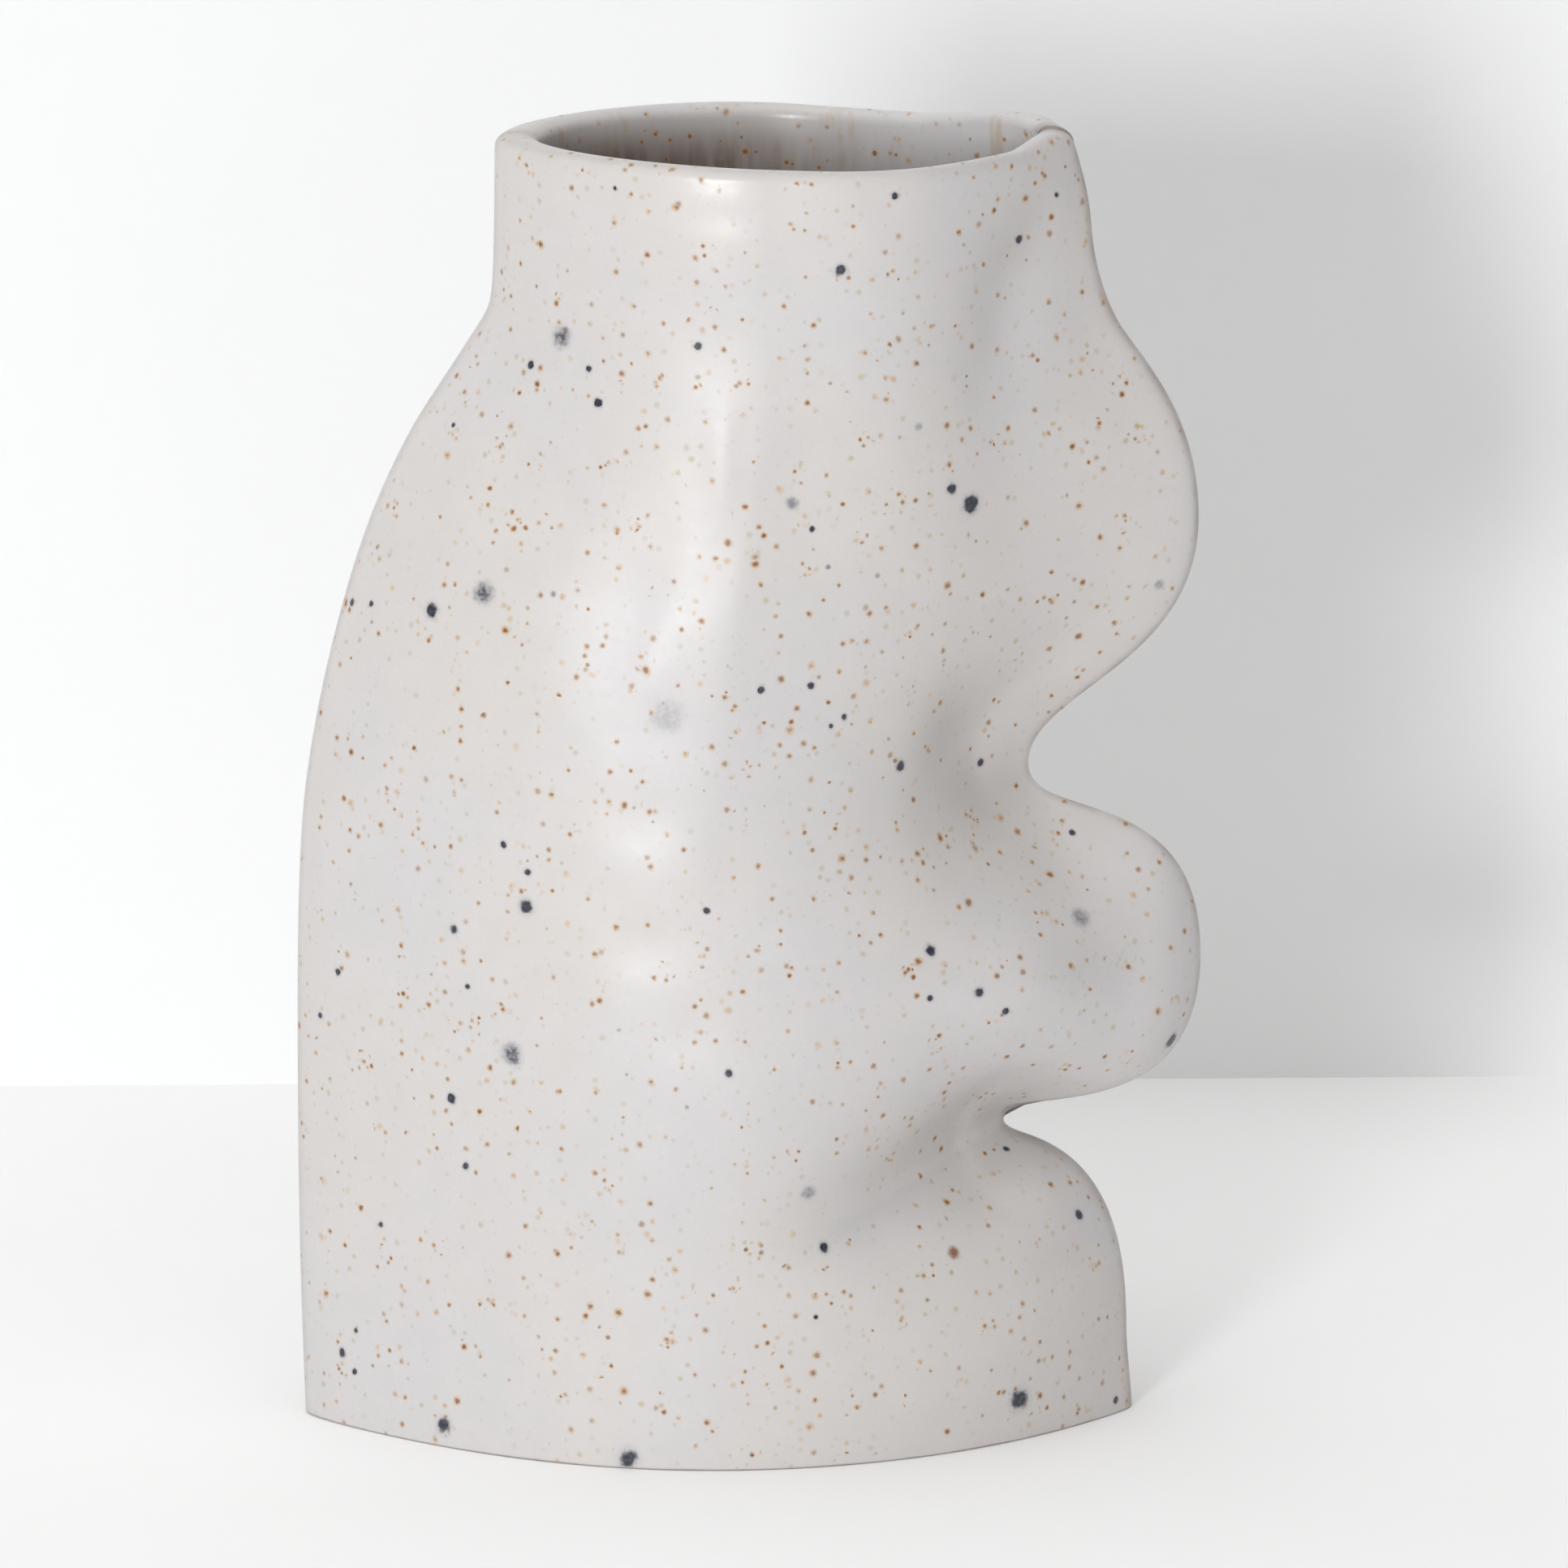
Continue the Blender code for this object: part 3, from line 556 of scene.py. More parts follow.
def seam_strip(loop, outside):
    """Triangles between the outside and the inside of one seam section."""
    outer = list(range(outside))
    inner = [0] + list(range(len(loop) - 1, outside - 1, -1))

    def run(ids):
        lengths = np.linalg.norm(np.diff(loop[ids], axis=0), axis=1)
        total = np.concatenate([[0.0], np.cumsum(lengths)])
        return total / total[-1]

    outer_run, inner_run = run(outer), run(inner)
    i = j = 0
    triangles = []
    while i < len(outer) - 1 or j < len(inner) - 1:
        if j == len(inner) - 1 or (i < len(outer) - 1 and outer_run[i + 1] <= inner_run[j + 1]):
            triangles.append((outer[i], outer[i + 1], inner[j]))
            i += 1
        else:
            triangles.append((outer[i], inner[j + 1], inner[j]))
            j += 1
    return [t for t in triangles if len(set(t)) == 3]


def add_object(name, mesh):
    obj = bpy.data.objects.new(name, mesh)
    bpy.context.scene.collection.objects.link(obj)
    return obj


def corner_layout(mesh):
    """Vertex and face of every face corner, and the first corner of every face."""
    vertex = np.array([corner.vertex_index for corner in mesh.loops])
    start = np.array([p.loop_start for p in mesh.polygons])
    total = np.array([p.loop_total for p in mesh.polygons])
    return vertex, np.repeat(np.arange(len(start)), total), start


def wall_mesh(name, loops, normals):
    """Closed, smooth-shaded solid through the loops, with its own normals."""
    columns, points = loops.shape[:2]

    def index(column, point):
        return column * points + point % points

    quads = [(index(c, p), index(c, p + 1), index(c + 1, p + 1), index(c + 1, p))
             for c in range(columns - 1) for p in range(points)]
    caps = [tuple(index(c, p) for p in triangle)
            for c in (0, columns - 1)
            for triangle in seam_strip(loops[c], points - ROWS_INSIDE)]
    mesh = bpy.data.meshes.new(name)
    mesh.from_pydata((loops.reshape(-1, 3) * MM).tolist(), [], quads + caps)
    bm = bmesh.new()
    bm.from_mesh(mesh)
    bmesh.ops.recalc_face_normals(bm, faces=bm.faces)
    bm.to_mesh(mesh)
    bm.free()
    mesh.shade_smooth()
    obj = add_object(name, mesh)
    lay_out_uv(mesh, loops, len(quads))
    mesh.normals_split_custom_set_from_vertices(normals.reshape(-1, 3).tolist())
    return obj


# UV layout, in parts of the square
UV_MARGIN, UV_LENGTH = 0.006, 0.985     # border, and the length in use
UV_OUTSIDE_WIDTH = 0.84                 # the outside is large and undistorted
UV_INSIDE, UV_INSIDE_WIDTH = 0.865, 0.11    # left edge and width of the inside strip
UV_CAPS, UV_CAPS_WIDTH = 0.982, 0.012       # left edge and width of the seam caps
UV_UNDERSIDE = 4.0                      # mm of strip given to the underside of the foot


def lay_out_uv(mesh, loops, quad_count):
    """One layout for baking: the outside large, the hidden inside narrow."""
    columns, points = loops.shape[:2]
    outside = points - ROWS_INSIDE
    step = np.linalg.norm(np.diff(loops, axis=0), axis=2)
    across = np.concatenate([np.zeros((1, points)), np.cumsum(step, axis=0)], axis=0)
    centre = np.array([np.interp(0.0, loops[:, p, 0], across[:, p]) for p in range(points)])
    across = (across - centre[None]) / 1000.0
    lift = np.linalg.norm(np.diff(loops, axis=1), axis=2)
    along = np.concatenate([np.zeros((columns, 1)), np.cumsum(lift, axis=1)], axis=1).mean(axis=0)
    along = np.append(along, along[-1] + UV_UNDERSIDE) / 1000.0
    low, high = across[:, :outside].min(), across[:, :outside].max()
    scale = min(UV_LENGTH / along[outside], UV_OUTSIDE_WIDTH / (high - low))

    vertex, face, start = corner_layout(mesh)
    column, point = vertex // points, vertex % points
    first, last = np.minimum.reduceat(point, start), np.maximum.reduceat(point, start)
    wraps = (last - first) > 2
    is_inside = ((first >= outside) | wraps)[face]
    is_cap = face >= quad_count
    # where a face wraps round the loop, point 0 counts as the one past the last
    wrapped = np.where(wraps[face] & (point == 0), points, point)
    strip = (along[wrapped] - along[outside]) / (along[-1] - along[outside])

    u = np.where(is_inside, UV_INSIDE + UV_INSIDE_WIDTH * (column / (columns - 1)),
                 UV_MARGIN + (across[column, point] - low) * scale)
    v = np.where(is_inside, UV_MARGIN + UV_LENGTH * strip, UV_MARGIN + along[point] * scale)
    u = np.where(is_cap, UV_CAPS + UV_CAPS_WIDTH * (point > points / 2), u)
    v = np.where(is_cap, UV_MARGIN + UV_LENGTH * np.minimum(point, points - 1 - point)
                 / (points / 2.0), v)
    layer = mesh.uv_layers.new(name="OFBake")
    layer.data.foreach_set("uv", np.stack([u, v], axis=1).astype(np.float32).ravel())


# ----------------------------------------------------------------------------
# Floor slab
# ----------------------------------------------------------------------------
# Outline rings of the slab: z, how far it is drawn in from the walls (mm).
SLAB_SIDE = ((0.0, 0.5), (0.35, 0.06), (FLOOR - 0.2, 0.02))
SLAB_TOP_INSET = 0.02
# Top rings from the walls inwards: share of the outline, mm above FLOOR.
POOL = ((1.0, 1.6), (0.985, 0.8), (0.965, 0.3), (0.93, 0.05),
        (0.8, 0.0), (0.6, 0.0), (0.4, 0.0), (0.2, 0.0))
UNDER_SHARES = (0.2, 0.4, 0.6, 0.8, 0.93, 0.97)     # underside rings, from the middle out
DISH, DISH_EDGE = 0.22, 0.95        # hollow of the underside (mm), and the share it ends at


def floor_mesh(name, front, back):
    """The slab let in between the walls: bare below, glazed with a soft pool above."""
    def outline(z, drawn_in):
        points = []
        for loops in (front, back[::-1]):
            inner = loops[::3, -ROWS_INSIDE:][:, ::-1]
            for section in inner:
                points.append([np.interp(z, section[:, 2], section[:, k]) for k in (0, 1)])
        points = np.array(points)
        tangent = np.roll(points, -1, axis=0) - np.roll(points, 1, axis=0)
        tangent /= np.maximum(np.linalg.norm(tangent, axis=1), 1e-9)[:, None]
        return points + np.stack([-tangent[:, 1], tangent[:, 0]], axis=1) * drawn_in

    def ring(line, share, z):
        return np.column_stack([line * share, np.full(len(line), z)])

    bottom = outline(*SLAB_SIDE[0])
    top = outline(FLOOR, SLAB_TOP_INSET)
    rings = [ring(bottom, share,
                  0.0 if share > DISH_EDGE else DISH * (1.0 - (share / DISH_EDGE) ** 8))
             for share in UNDER_SHARES]
    rings += [ring(outline(z, drawn_in), 1.0, z) for z, drawn_in in SLAB_SIDE]
    rings += [ring(top, share, FLOOR + lift) for share, lift in POOL]

    bm = bmesh.new()
    verts = [[bm.verts.new(Vector(p) * MM) for p in points] for points in rings]
    count = len(verts[0])
    for lower, upper in zip(verts[:-1], verts[1:]):
        for i in range(count):
            k = (i + 1) % count
            bm.faces.new((lower[i], lower[k], upper[k], upper[i]))
    low = bm.verts.new(Vector((0.0, 0.0, DISH)) * MM)
    high = bm.verts.new(Vector((0.0, 0.0, FLOOR)) * MM)
    for i in range(count):
        k = (i + 1) % count
        bm.faces.new((low, verts[0][k], verts[0][i]))
        bm.faces.new((high, verts[-1][i], verts[-1][k]))
    bmesh.ops.recalc_face_normals(bm, faces=bm.faces)
    mesh = bpy.data.meshes.new(name)
    bm.to_mesh(mesh)
    bm.free()
    mesh.shade_smooth()
    mesh.set_sharp_from_angle(angle=math.radians(40))
    return add_object(name, mesh)


# ----------------------------------------------------------------------------
# Glaze attributes on the walls
# ----------------------------------------------------------------------------
END_MARGIN = 3.0        # mm kept free of random spots at the foot, rim and left side
RIGHT_MARGIN = 2.5      # the same at the lobed edge
RIGHT_MARGIN_LEVEL = 2.0    # the same, measured level
SPOT_SPACING = 2.5      # mm between a random spot and the edge of another


def spot_list(side):
    """All larger spots of one wall's outside: x, z, radius, kind."""
    spots = list(side.spots)
    rng = np.random.default_rng(side.spot_seed)
    wanted = side.random_spots
    while wanted > 0:
        z = rng.uniform(END_MARGIN, HEIGHT - END_MARGIN)
        x = rng.uniform(np.interp(z, OUT_LEFT[:, 1], OUT_LEFT[:, 0]) + END_MARGIN, 60.0)
        if (edge_distance(np.array([x]), np.array([z]), OUT_RIGHT)[0] < RIGHT_MARGIN
                or x > np.interp(z, OUT_RIGHT[:, 1], OUT_RIGHT[:, 0]) - RIGHT_MARGIN_LEVEL
                or any(math.hypot(x - s[0], z - s[1]) < SPOT_SPACING + s[2] for s in spots)):
            continue
        radius = 0.30 + 0.28 * rng.random() ** 2.0
        if side.large_share and rng.random() < side.large_share:
            radius = 0.6 + 0.75 * rng.random() ** 2.0
        spots.append((x, z, radius, 1.0 if rng.random() < 0.7 else 0.5))
        wanted -= 1
    return spots


def store(mesh, name, values):
    attribute = mesh.attributes.new(name, 'FLOAT', 'CORNER')
    attribute.data.foreach_set("value", values.astype(np.float32))


def mark_spots(mesh, loops, side):
    """Store, at every face corner, the offset from the nearest large spot in
    spot radii, and the kind of that spot."""
    points = loops.shape[1]
    flat = loops.reshape(-1, 3)
    is_outside = (np.arange(len(flat)) % points) < points - ROWS_INSIDE
    vertex, face, start = corner_layout(mesh)
    centre = np.add.reduceat(flat[vertex], start, axis=0) / np.bincount(face)[:, None]
    outside_face = np.logical_and.reduceat(is_outside[vertex], start)

    far = 1e9
    nearest = np.full(len(start), far)
    pick = np.full(len(start), -1)
    spots = spot_list(side)
    places = []
    for k, (x, z, radius, _) in enumerate(spots):
        distance = np.where(is_outside, np.hypot(flat[:, 0] - x, flat[:, 2] - z), far)
        near = np.argsort(distance)[:4]
        weight = 1.0 / np.maximum(distance[near], 1e-3)
        place = np.array([x, (flat[near, 1] * weight).sum() / weight.sum(), z])
        places.append(place)
        reach = np.linalg.norm(centre - place, axis=1)
        # faces near enough for the spot and its halo
        touched = outside_face & (reach < 3.2 * radius + 1.3)
        reach = np.where(touched, reach / radius, far)
        closer = reach < nearest
        nearest[closer], pick[closer] = reach[closer], k

    no_spot = 9.0       # an offset beyond every halo
    offset = np.full((len(vertex), 3), no_spot, np.float32)
    kind = np.zeros(len(vertex), np.float32)
    chosen = pick[face]
    has = chosen >= 0
    chosen = chosen[has]
    radii = np.array([s[2] for s in spots])
    offset[has] = ((flat[vertex[has]] - np.array(places)[chosen])
                   / radii[chosen, None]).astype(np.float32)
    kind[has] = np.array([s[3] for s in spots])[chosen]
    attribute = mesh.attributes.new("spot_offset", 'FLOAT_VECTOR', 'CORNER')
    attribute.data.foreach_set("vector", offset.ravel())
    store(mesh, "spot_kind", kind)


def mark_glaze(mesh, loops, side):
    """Store where the wall is inside, where the glaze is thin and the edge shade is painted, and
    the painted shade of the creases.
    """
    columns, points = loops.shape[:2]
    outside = points - ROWS_INSIDE
    flat = loops.reshape(-1, 3)
    x, z = flat[:, 0], flat[:, 2]
    column, row = np.arange(len(flat)) // points, np.arange(len(flat)) % points
    is_outside = row < outside
    vertex = corner_layout(mesh)[0]

    # 1 on the inside of the vase, fading out over the lip
    lip = row - (outside - LIP_RING // 2)
    inside = np.where((lip > 0) & (z > 3.0), np.clip(lip / (0.5 * LIP_RING), 0.0, 1.0), 0.0)
    store(mesh, "inside", inside[vertex])

    # the glaze breaks thin along the side edges and over the rim; the stronger dark line along
    # the lobed edge is painted shade
    beyond_band = 9.0
    steps = np.array(EDGE_STEPS + (beyond_band,))
    to_right = steps[np.minimum(columns - 1 - column, len(EDGE_STEPS))]
    to_left = steps[np.minimum(column, len(EDGE_STEPS))]
    thin_and_edge_shade = np.maximum(np.exp(-(to_right / 0.60) ** 2), 0.35 * np.exp(-(to_left / 0.45) ** 2))
    thin_and_edge_shade = np.where(is_outside, thin_and_edge_shade, 0.0)
    crest = outside - 0.5 * LIP_RING + side.thin_row
    thin_and_edge_shade = np.maximum(thin_and_edge_shade, side.thin_lip * np.exp(-((row - crest) / 2.0) ** 2))
    store(mesh, "thin_glaze_and_edge_shade", thin_and_edge_shade[vertex])

    # painted shade in the creases, kept in the 'crease' attribute
    shade = np.zeros(len(flat))
    for centre_x, centre_z, along, across, strength, angle in side.painted_crease_shade:
        oval = soft_oval(x, z, centre_x, centre_z, along, across, angle)
        shade = np.maximum(shade, strength * oval)
    store(mesh, "crease", np.where(is_outside, shade, 0.0)[vertex])


# ----------------------------------------------------------------------------
# Shader helpers
# ----------------------------------------------------------------------------
class Shader:
    """Short helpers for building a node tree.  Any value may be a socket."""

    def __init__(self, tree, coordinates='Object'):
        self.tree = tree
        self.count = 0
        self.place = self.add('ShaderNodeTexCoord').outputs[coordinates]

    def add(self, kind, inputs=None, **properties):
        """New node, laid out nine to a row, with its inputs by index or name."""
        node = self.tree.nodes.new(kind)
        self.count += 1
        node.location = (-200 * (self.count % 9) - 300, 160 * (self.count // 9))
        for key, value in properties.items():
            setattr(node, key, value)
        for key, value in (inputs or {}).items():
            self.put(node.inputs[key], value)
        return node

    def put(self, socket, value):
        if isinstance(value, bpy.types.NodeSocket):
            self.tree.links.new(value, socket)
        else:
            socket.default_value = value

    def math(self, operation, a, b=0.0):
        return self.add('ShaderNodeMath', {0: a, 1: b, 2: 0.0}, operation=operation).outputs[0]

    def times(self, a, b):
        return self.math('MULTIPLY', a, b)

    def plus(self, a, b):
        return self.math('ADD', a, b)

    def sway(self, noise, reach):
        """Noise centred on zero and scaled."""
        return self.times(self.math('SUBTRACT', noise, 0.5), reach)

    def ramp(self, value, over, to=(0.0, 1.0), shape='SMOOTHSTEP'):
        return self.add('ShaderNodeMapRange', dict(enumerate((value, *over, *to))),
                        interpolation_type=shape).outputs[0]

    def spread(self, value, to, over=(0.0, 1.0)):
        return self.ramp(value, over, to, shape='LINEAR')

    def noise(self, scale, detail=2.0, rough=0.5, where=None):
        return self.add('ShaderNodeTexNoise', {
            'Vector': where or self.place, 'Scale': scale,
            'Detail': detail, 'Roughness': rough}).outputs['Fac']

    def attribute(self, name, output='Fac'):
        return self.add('ShaderNodeAttribute', attribute_name=name).outputs[output]

    def axes(self):
        return self.add('ShaderNodeSeparateXYZ', {0: self.place}).outputs

    def mix(self, amount, a, b):
        """Blend of two colours, given as sockets or (r, g, b)."""
        a, b = [(*c, 1.0) if isinstance(c, tuple) else c for c in (a, b)]
        return self.add('ShaderNodeMix', {0: amount, 6: a, 7: b}, data_type='RGBA').outputs[2]

    def specks(self, scale, share, radii, soft, seed):
        """Mask of scattered round specks, a random value for each, and the
        distance from its centre in radii.

        share is the part of the cells that hold one; radii are the smallest and
        largest in metres; soft is how far the edge fades, in radii.
        """
        where = self.add('ShaderNodeVectorMath',
                         {0: self.place, 1: (seed * 0.37, seed * 0.71, seed * 0.13)},
                         operation='ADD').outputs[0]
        cells = self.add('ShaderNodeTexVoronoi', {'Vector': where, 'Scale': scale}, feature='F1')
        value = self.add('ShaderNodeSeparateColor', {0: cells.outputs['Color']}).outputs
        size = self.spread(value[1], to=(radii[0] * scale, radii[1] * scale))
        near = self.math('DIVIDE', cells.outputs['Distance'], size)
        wobble = self.noise(scale * 5.0, detail=1.0, where=where)
        near = self.plus(near, self.sway(wobble, 0.9))
        disc = self.ramp(near, over=(1.0 + soft, 1.0 - soft))
        gate = self.math('LESS_THAN', value[0], share)
        return self.times(disc, gate), value[2], near

    def speckle(self, base, colour, opacity, **cells):
        """Lay specks over a colour; each picks its own opacity from the range."""
        mask, value, _ = self.specks(**cells)
        return self.mix(self.times(mask, self.spread(value, to=opacity)), base, colour)


class Material(Shader):
    def __init__(self, name):
        self.mat = bpy.data.materials.new(name)
        self.mat.use_nodes = True
        super().__init__(self.mat.node_tree)
        self.bsdf = self.tree.nodes['Principled BSDF']

    def surface(self, name, value):
        self.put(self.bsdf.inputs[name], value)

    def bump(self, height, strength, distance):
        bump = self.add('ShaderNodeBump',
                        {'Strength': strength, 'Distance': distance, 'Height': height})
        self.surface('Normal', bump.outputs[0])


# ----------------------------------------------------------------------------
# Materials (linear RGB)
# ----------------------------------------------------------------------------
COOL, WARM = (0.565, 0.547, 0.549), (0.590, 0.555, 0.530)   # drift of the off-white glaze
PALE, DIM = (0.615, 0.595, 0.585), (0.480, 0.455, 0.440)    # its clouds and its grain
MOUTH_TAN = (0.46, 0.345, 0.215)        # clay showing through inside the mouth
# painted brown shadow inside the mouth
MOUTH_PAINTED_SHADOW = (0.200, 0.145, 0.115)      # deeper inside
# brown of the thin glaze at the edges, also the painted shade along the lobed edge
EDGE_BREAK_AND_SHADE = (0.225, 0.185, 0.165)
# painted brown shade for the creases of the front
PAINTED_CREASE_SHADE = (0.412, 0.378, 0.358)
FLECK_GREY = (0.27, 0.26, 0.25)
OLIVE_TAN = (0.44, 0.345, 0.19)
RUST_EDGE, RUST_CORE = (0.53, 0.315, 0.120), (0.200, 0.082, 0.029)
BLUE_BLACK = (0.040, 0.042, 0.062)
SPOT_HALO = (0.33, 0.325, 0.36)
SPOT_DARK, SPOT_LIGHT = (0.020, 0.021, 0.031), (0.060, 0.062, 0.085)
SPOT_RUST = (0.22, 0.075, 0.025)
FOOT_DARK, FOOT_PALE = (0.33, 0.29, 0.26), (0.46, 0.42, 0.385)
CLAY_DARK, CLAY_PALE = (0.47, 0.385, 0.30), (0.57, 0.48, 0.39)
CLAY_GRIT, CLAY_SPECK = (0.33, 0.26, 0.20), (0.16, 0.085, 0.05)
GLAZE_ROUGH, BARE_ROUGH = (0.30, 0.38), 0.85    # satin range, and the unglazed foot


def glaze_ground(t, grain):
    """Off-white, drifting a little between cool and warm."""
    drift = t.noise(scale=26.0, detail=3.0, rough=0.55)
    cloud = t.noise(scale=150.0, detail=4.0, rough=0.6)
    base = t.mix(t.ramp(drift, over=(0.35, 0.65)), COOL, WARM)
    base = t.mix(t.ramp(cloud, over=(0.3, 0.7), to=(0.0, 0.35)), base, PALE)
    return t.mix(t.ramp(grain, over=(0.3, 0.7), to=(0.0, 0.10)), base, DIM)


def mouth_glaze_and_shadow(t, base, inner):
    """Inside the mouth the glaze runs thin and shows the brown clay, with a painted brown shadow
    below the rim.
    """
    axes = t.axes()
    runs = t.add('ShaderNodeMapping', {'Vector': t.place, 'Scale': (1.0, 1.0, 0.16)})
    streak = t.noise(scale=330.0, rough=0.6, where=runs.outputs[0])
    tan = t.times(t.ramp(streak, over=(0.52, 0.64), to=(0.0, 0.50)),
                  t.ramp(t.noise(scale=170.0), over=(0.40, 0.60)))
    base = t.mix(t.times(inner, tan), base, MOUTH_TAN)
    # painted shadow: darker below the rim and towards the plain side, where the front lip shades
    # the inside
    shadow_below_rim = t.ramp(t.plus(axes['Z'], t.times(streak, 0.004)), over=(0.1825, 0.1740))
    shadow_towards_plain_side = t.ramp(axes['X'], over=(0.026, -0.012), to=(0.12, 1.0))
    painted_shadow = t.times(t.times(shadow_below_rim, shadow_towards_plain_side),
                   t.ramp(streak, over=(0.3, 0.6), to=(0.65, 1.0)))
    return t.mix(t.times(inner, painted_shadow), base, MOUTH_PAINTED_SHADOW)


def edges_and_painted_shade(t, base):
    """Thin and brownish over the edges, with painted shade along the lobed edge, and painted
    brown shade in the creases.
    """
    patchy = t.ramp(t.noise(scale=240.0), over=(0.3, 0.65), to=(0.55, 1.0))
    edge_break_and_shade_opacity, crease_shade_opacity = 0.62, 0.50
    thin_and_edge_shade = t.times(t.attribute('thin_glaze_and_edge_shade'), t.times(patchy, edge_break_and_shade_opacity))
    base = t.mix(thin_and_edge_shade, base, EDGE_BREAK_AND_SHADE)
    # painted shade in the creases, darker and browner
    return t.mix(t.times(t.attribute('crease'), crease_shade_opacity), base, PAINTED_CREASE_SHADE)


def glaze_specks(t, base, inner):
    # faint grey flecks deep in the glaze, then pale olive-tan specks
    base = t.speckle(base, FLECK_GREY, opacity=(0.04, 0.26), scale=620.0, share=0.50,
                     radii=(0.00010, 0.00026), soft=0.6, seed=3)
    base = t.speckle(base, OLIVE_TAN, opacity=(0.12, 0.65), scale=520.0, share=0.70,
                     radii=(0.00018, 0.00042), soft=0.6, seed=7)
    # rust specks, darker in the middle: small in crowds, larger alone, fine in clusters
    crowd = t.ramp(t.noise(scale=75.0), over=(0.38, 0.62), to=(0.35, 0.92))
    more_inside = t.times(inner, 0.22)
    crowd = t.plus(crowd, more_inside)
    cluster = t.specks(scale=150.0, share=0.75, radii=(0.0012, 0.0019), soft=0.05, seed=31)[0]
    # cell scale, share, radii (m), seed, opacity
    for scale, share, radii, seed, opacity in (
            (470.0, crowd, (0.00022, 0.00050), 11, (0.45, 1.0)),
            (270.0, 0.40, (0.00036, 0.00062), 19, (0.6, 1.0)),
            (820.0, cluster, (0.00024, 0.00042), 37, (0.6, 1.0))):
        mask, value, near = t.specks(scale, share, radii, soft=0.6, seed=seed)
        tint = t.mix(t.ramp(near, over=(1.0, 0.4)), RUST_EDGE, RUST_CORE)
        base = t.mix(t.times(mask, t.spread(value, to=opacity)), base, tint)
    # a few small blue-black specks
    return t.speckle(base, BLUE_BLACK, opacity=(0.55, 0.95), scale=150.0, share=0.035,
                     radii=(0.00024, 0.00046), soft=0.5, seed=23)


def iron_spots(t, base):
    """The larger spots stored on the mesh; returns the colour and the spot mask."""
    offset = t.attribute('spot_offset', 'Vector')
    kind = t.attribute('spot_kind')
    length = t.add('ShaderNodeVectorMath', {0: offset}, operation='LENGTH').outputs['Value']
    ragged = t.plus(t.sway(t.noise(scale=1300.0), 0.8),
                    t.sway(t.noise(scale=480.0, detail=1.0), 0.8))
    near = t.plus(length, ragged)
    soft = t.spread(kind, over=(0.5, 1.0), to=(0.70, 0.34))
    core = t.ramp(near, over=(t.plus(1.0, soft), t.math('SUBTRACT', 1.0, soft)))
    halo = t.times(t.ramp(near, over=(2.1, 0.8), to=(0.0, 0.42)),
                   t.spread(kind, over=(0.4, 0.5), to=(0.35, 1.0)))
    base = t.mix(halo, base, SPOT_HALO)

    # crisp spots are full and even, soft ones weak and blotchy
    blotch = t.ramp(t.noise(scale=1500.0), over=(0.38, 0.60), to=(0.45, 1.0))
    strength = t.plus(t.spread(kind, over=(0.4, 0.6), to=(0.24, 0.86)),
                      t.spread(kind, over=(0.6, 1.0), to=(0.0, 0.18)))
    even = t.spread(kind, over=(0.6, 0.95), to=(0.0, 1.0))
    strength = t.times(strength, t.math('MAXIMUM', blotch, even))
    tone = t.mix(t.ramp(t.noise(scale=2600.0), over=(0.35, 0.7)), SPOT_DARK, SPOT_LIGHT)
    rust_limit, rust_strength = 0.25, 0.9
    is_rust = t.math('LESS_THAN', kind, rust_limit)
    tone = t.mix(is_rust, tone, SPOT_RUST)
    strength = t.math('MAXIMUM', strength, t.times(is_rust, rust_strength))
    return t.mix(t.times(core, strength), base, tone), core


def glaze(name, with_spots):
    t = Material(name)
    grain = t.noise(scale=1500.0, rough=0.6)
    inner = t.attribute('inside')
    base = glaze_ground(t, grain)
    base = mouth_glaze_and_shadow(t, base, inner)
    base = edges_and_painted_shade(t, base)
    base = glaze_specks(t, base, inner)

    # orange-peel skin, with the dark spots slightly sunk
    fine, coarse, sunk = 0.5, 0.9, 0.35
    skin = t.plus(t.times(t.noise(scale=700.0), fine),
                  t.times(t.noise(scale=260.0, detail=1.0), coarse))
    if with_spots:
        base, core = iron_spots(t, base)
        skin = t.math('SUBTRACT', skin, t.times(core, sunk))
    t.bump(skin, strength=0.35, distance=0.00009)

    # bare clay where the glaze stops above the table
    edge = t.plus(t.axes()['Z'], t.sway(t.noise(scale=130.0), 0.0004))
    bare = t.ramp(edge, over=(0.00035, 0.00008))
    clay = t.mix(t.noise(scale=900.0, detail=3.0), FOOT_DARK, FOOT_PALE)
    t.surface('Base Color', t.mix(bare, base, clay))

    # satin surface with patches of more gloss
    gloss = t.ramp(t.noise(scale=60.0, detail=3.0), over=(0.3, 0.7), to=GLAZE_ROUGH)
    gloss = t.plus(gloss, t.ramp(grain, over=(0.3, 0.7), to=(-0.02, 0.03)))
    t.surface('Roughness', t.mix(bare, gloss, (BARE_ROUGH,) * 3))
    t.surface('IOR', 1.5)
    t.surface('Specular IOR Level', 0.5)
    return t.mat


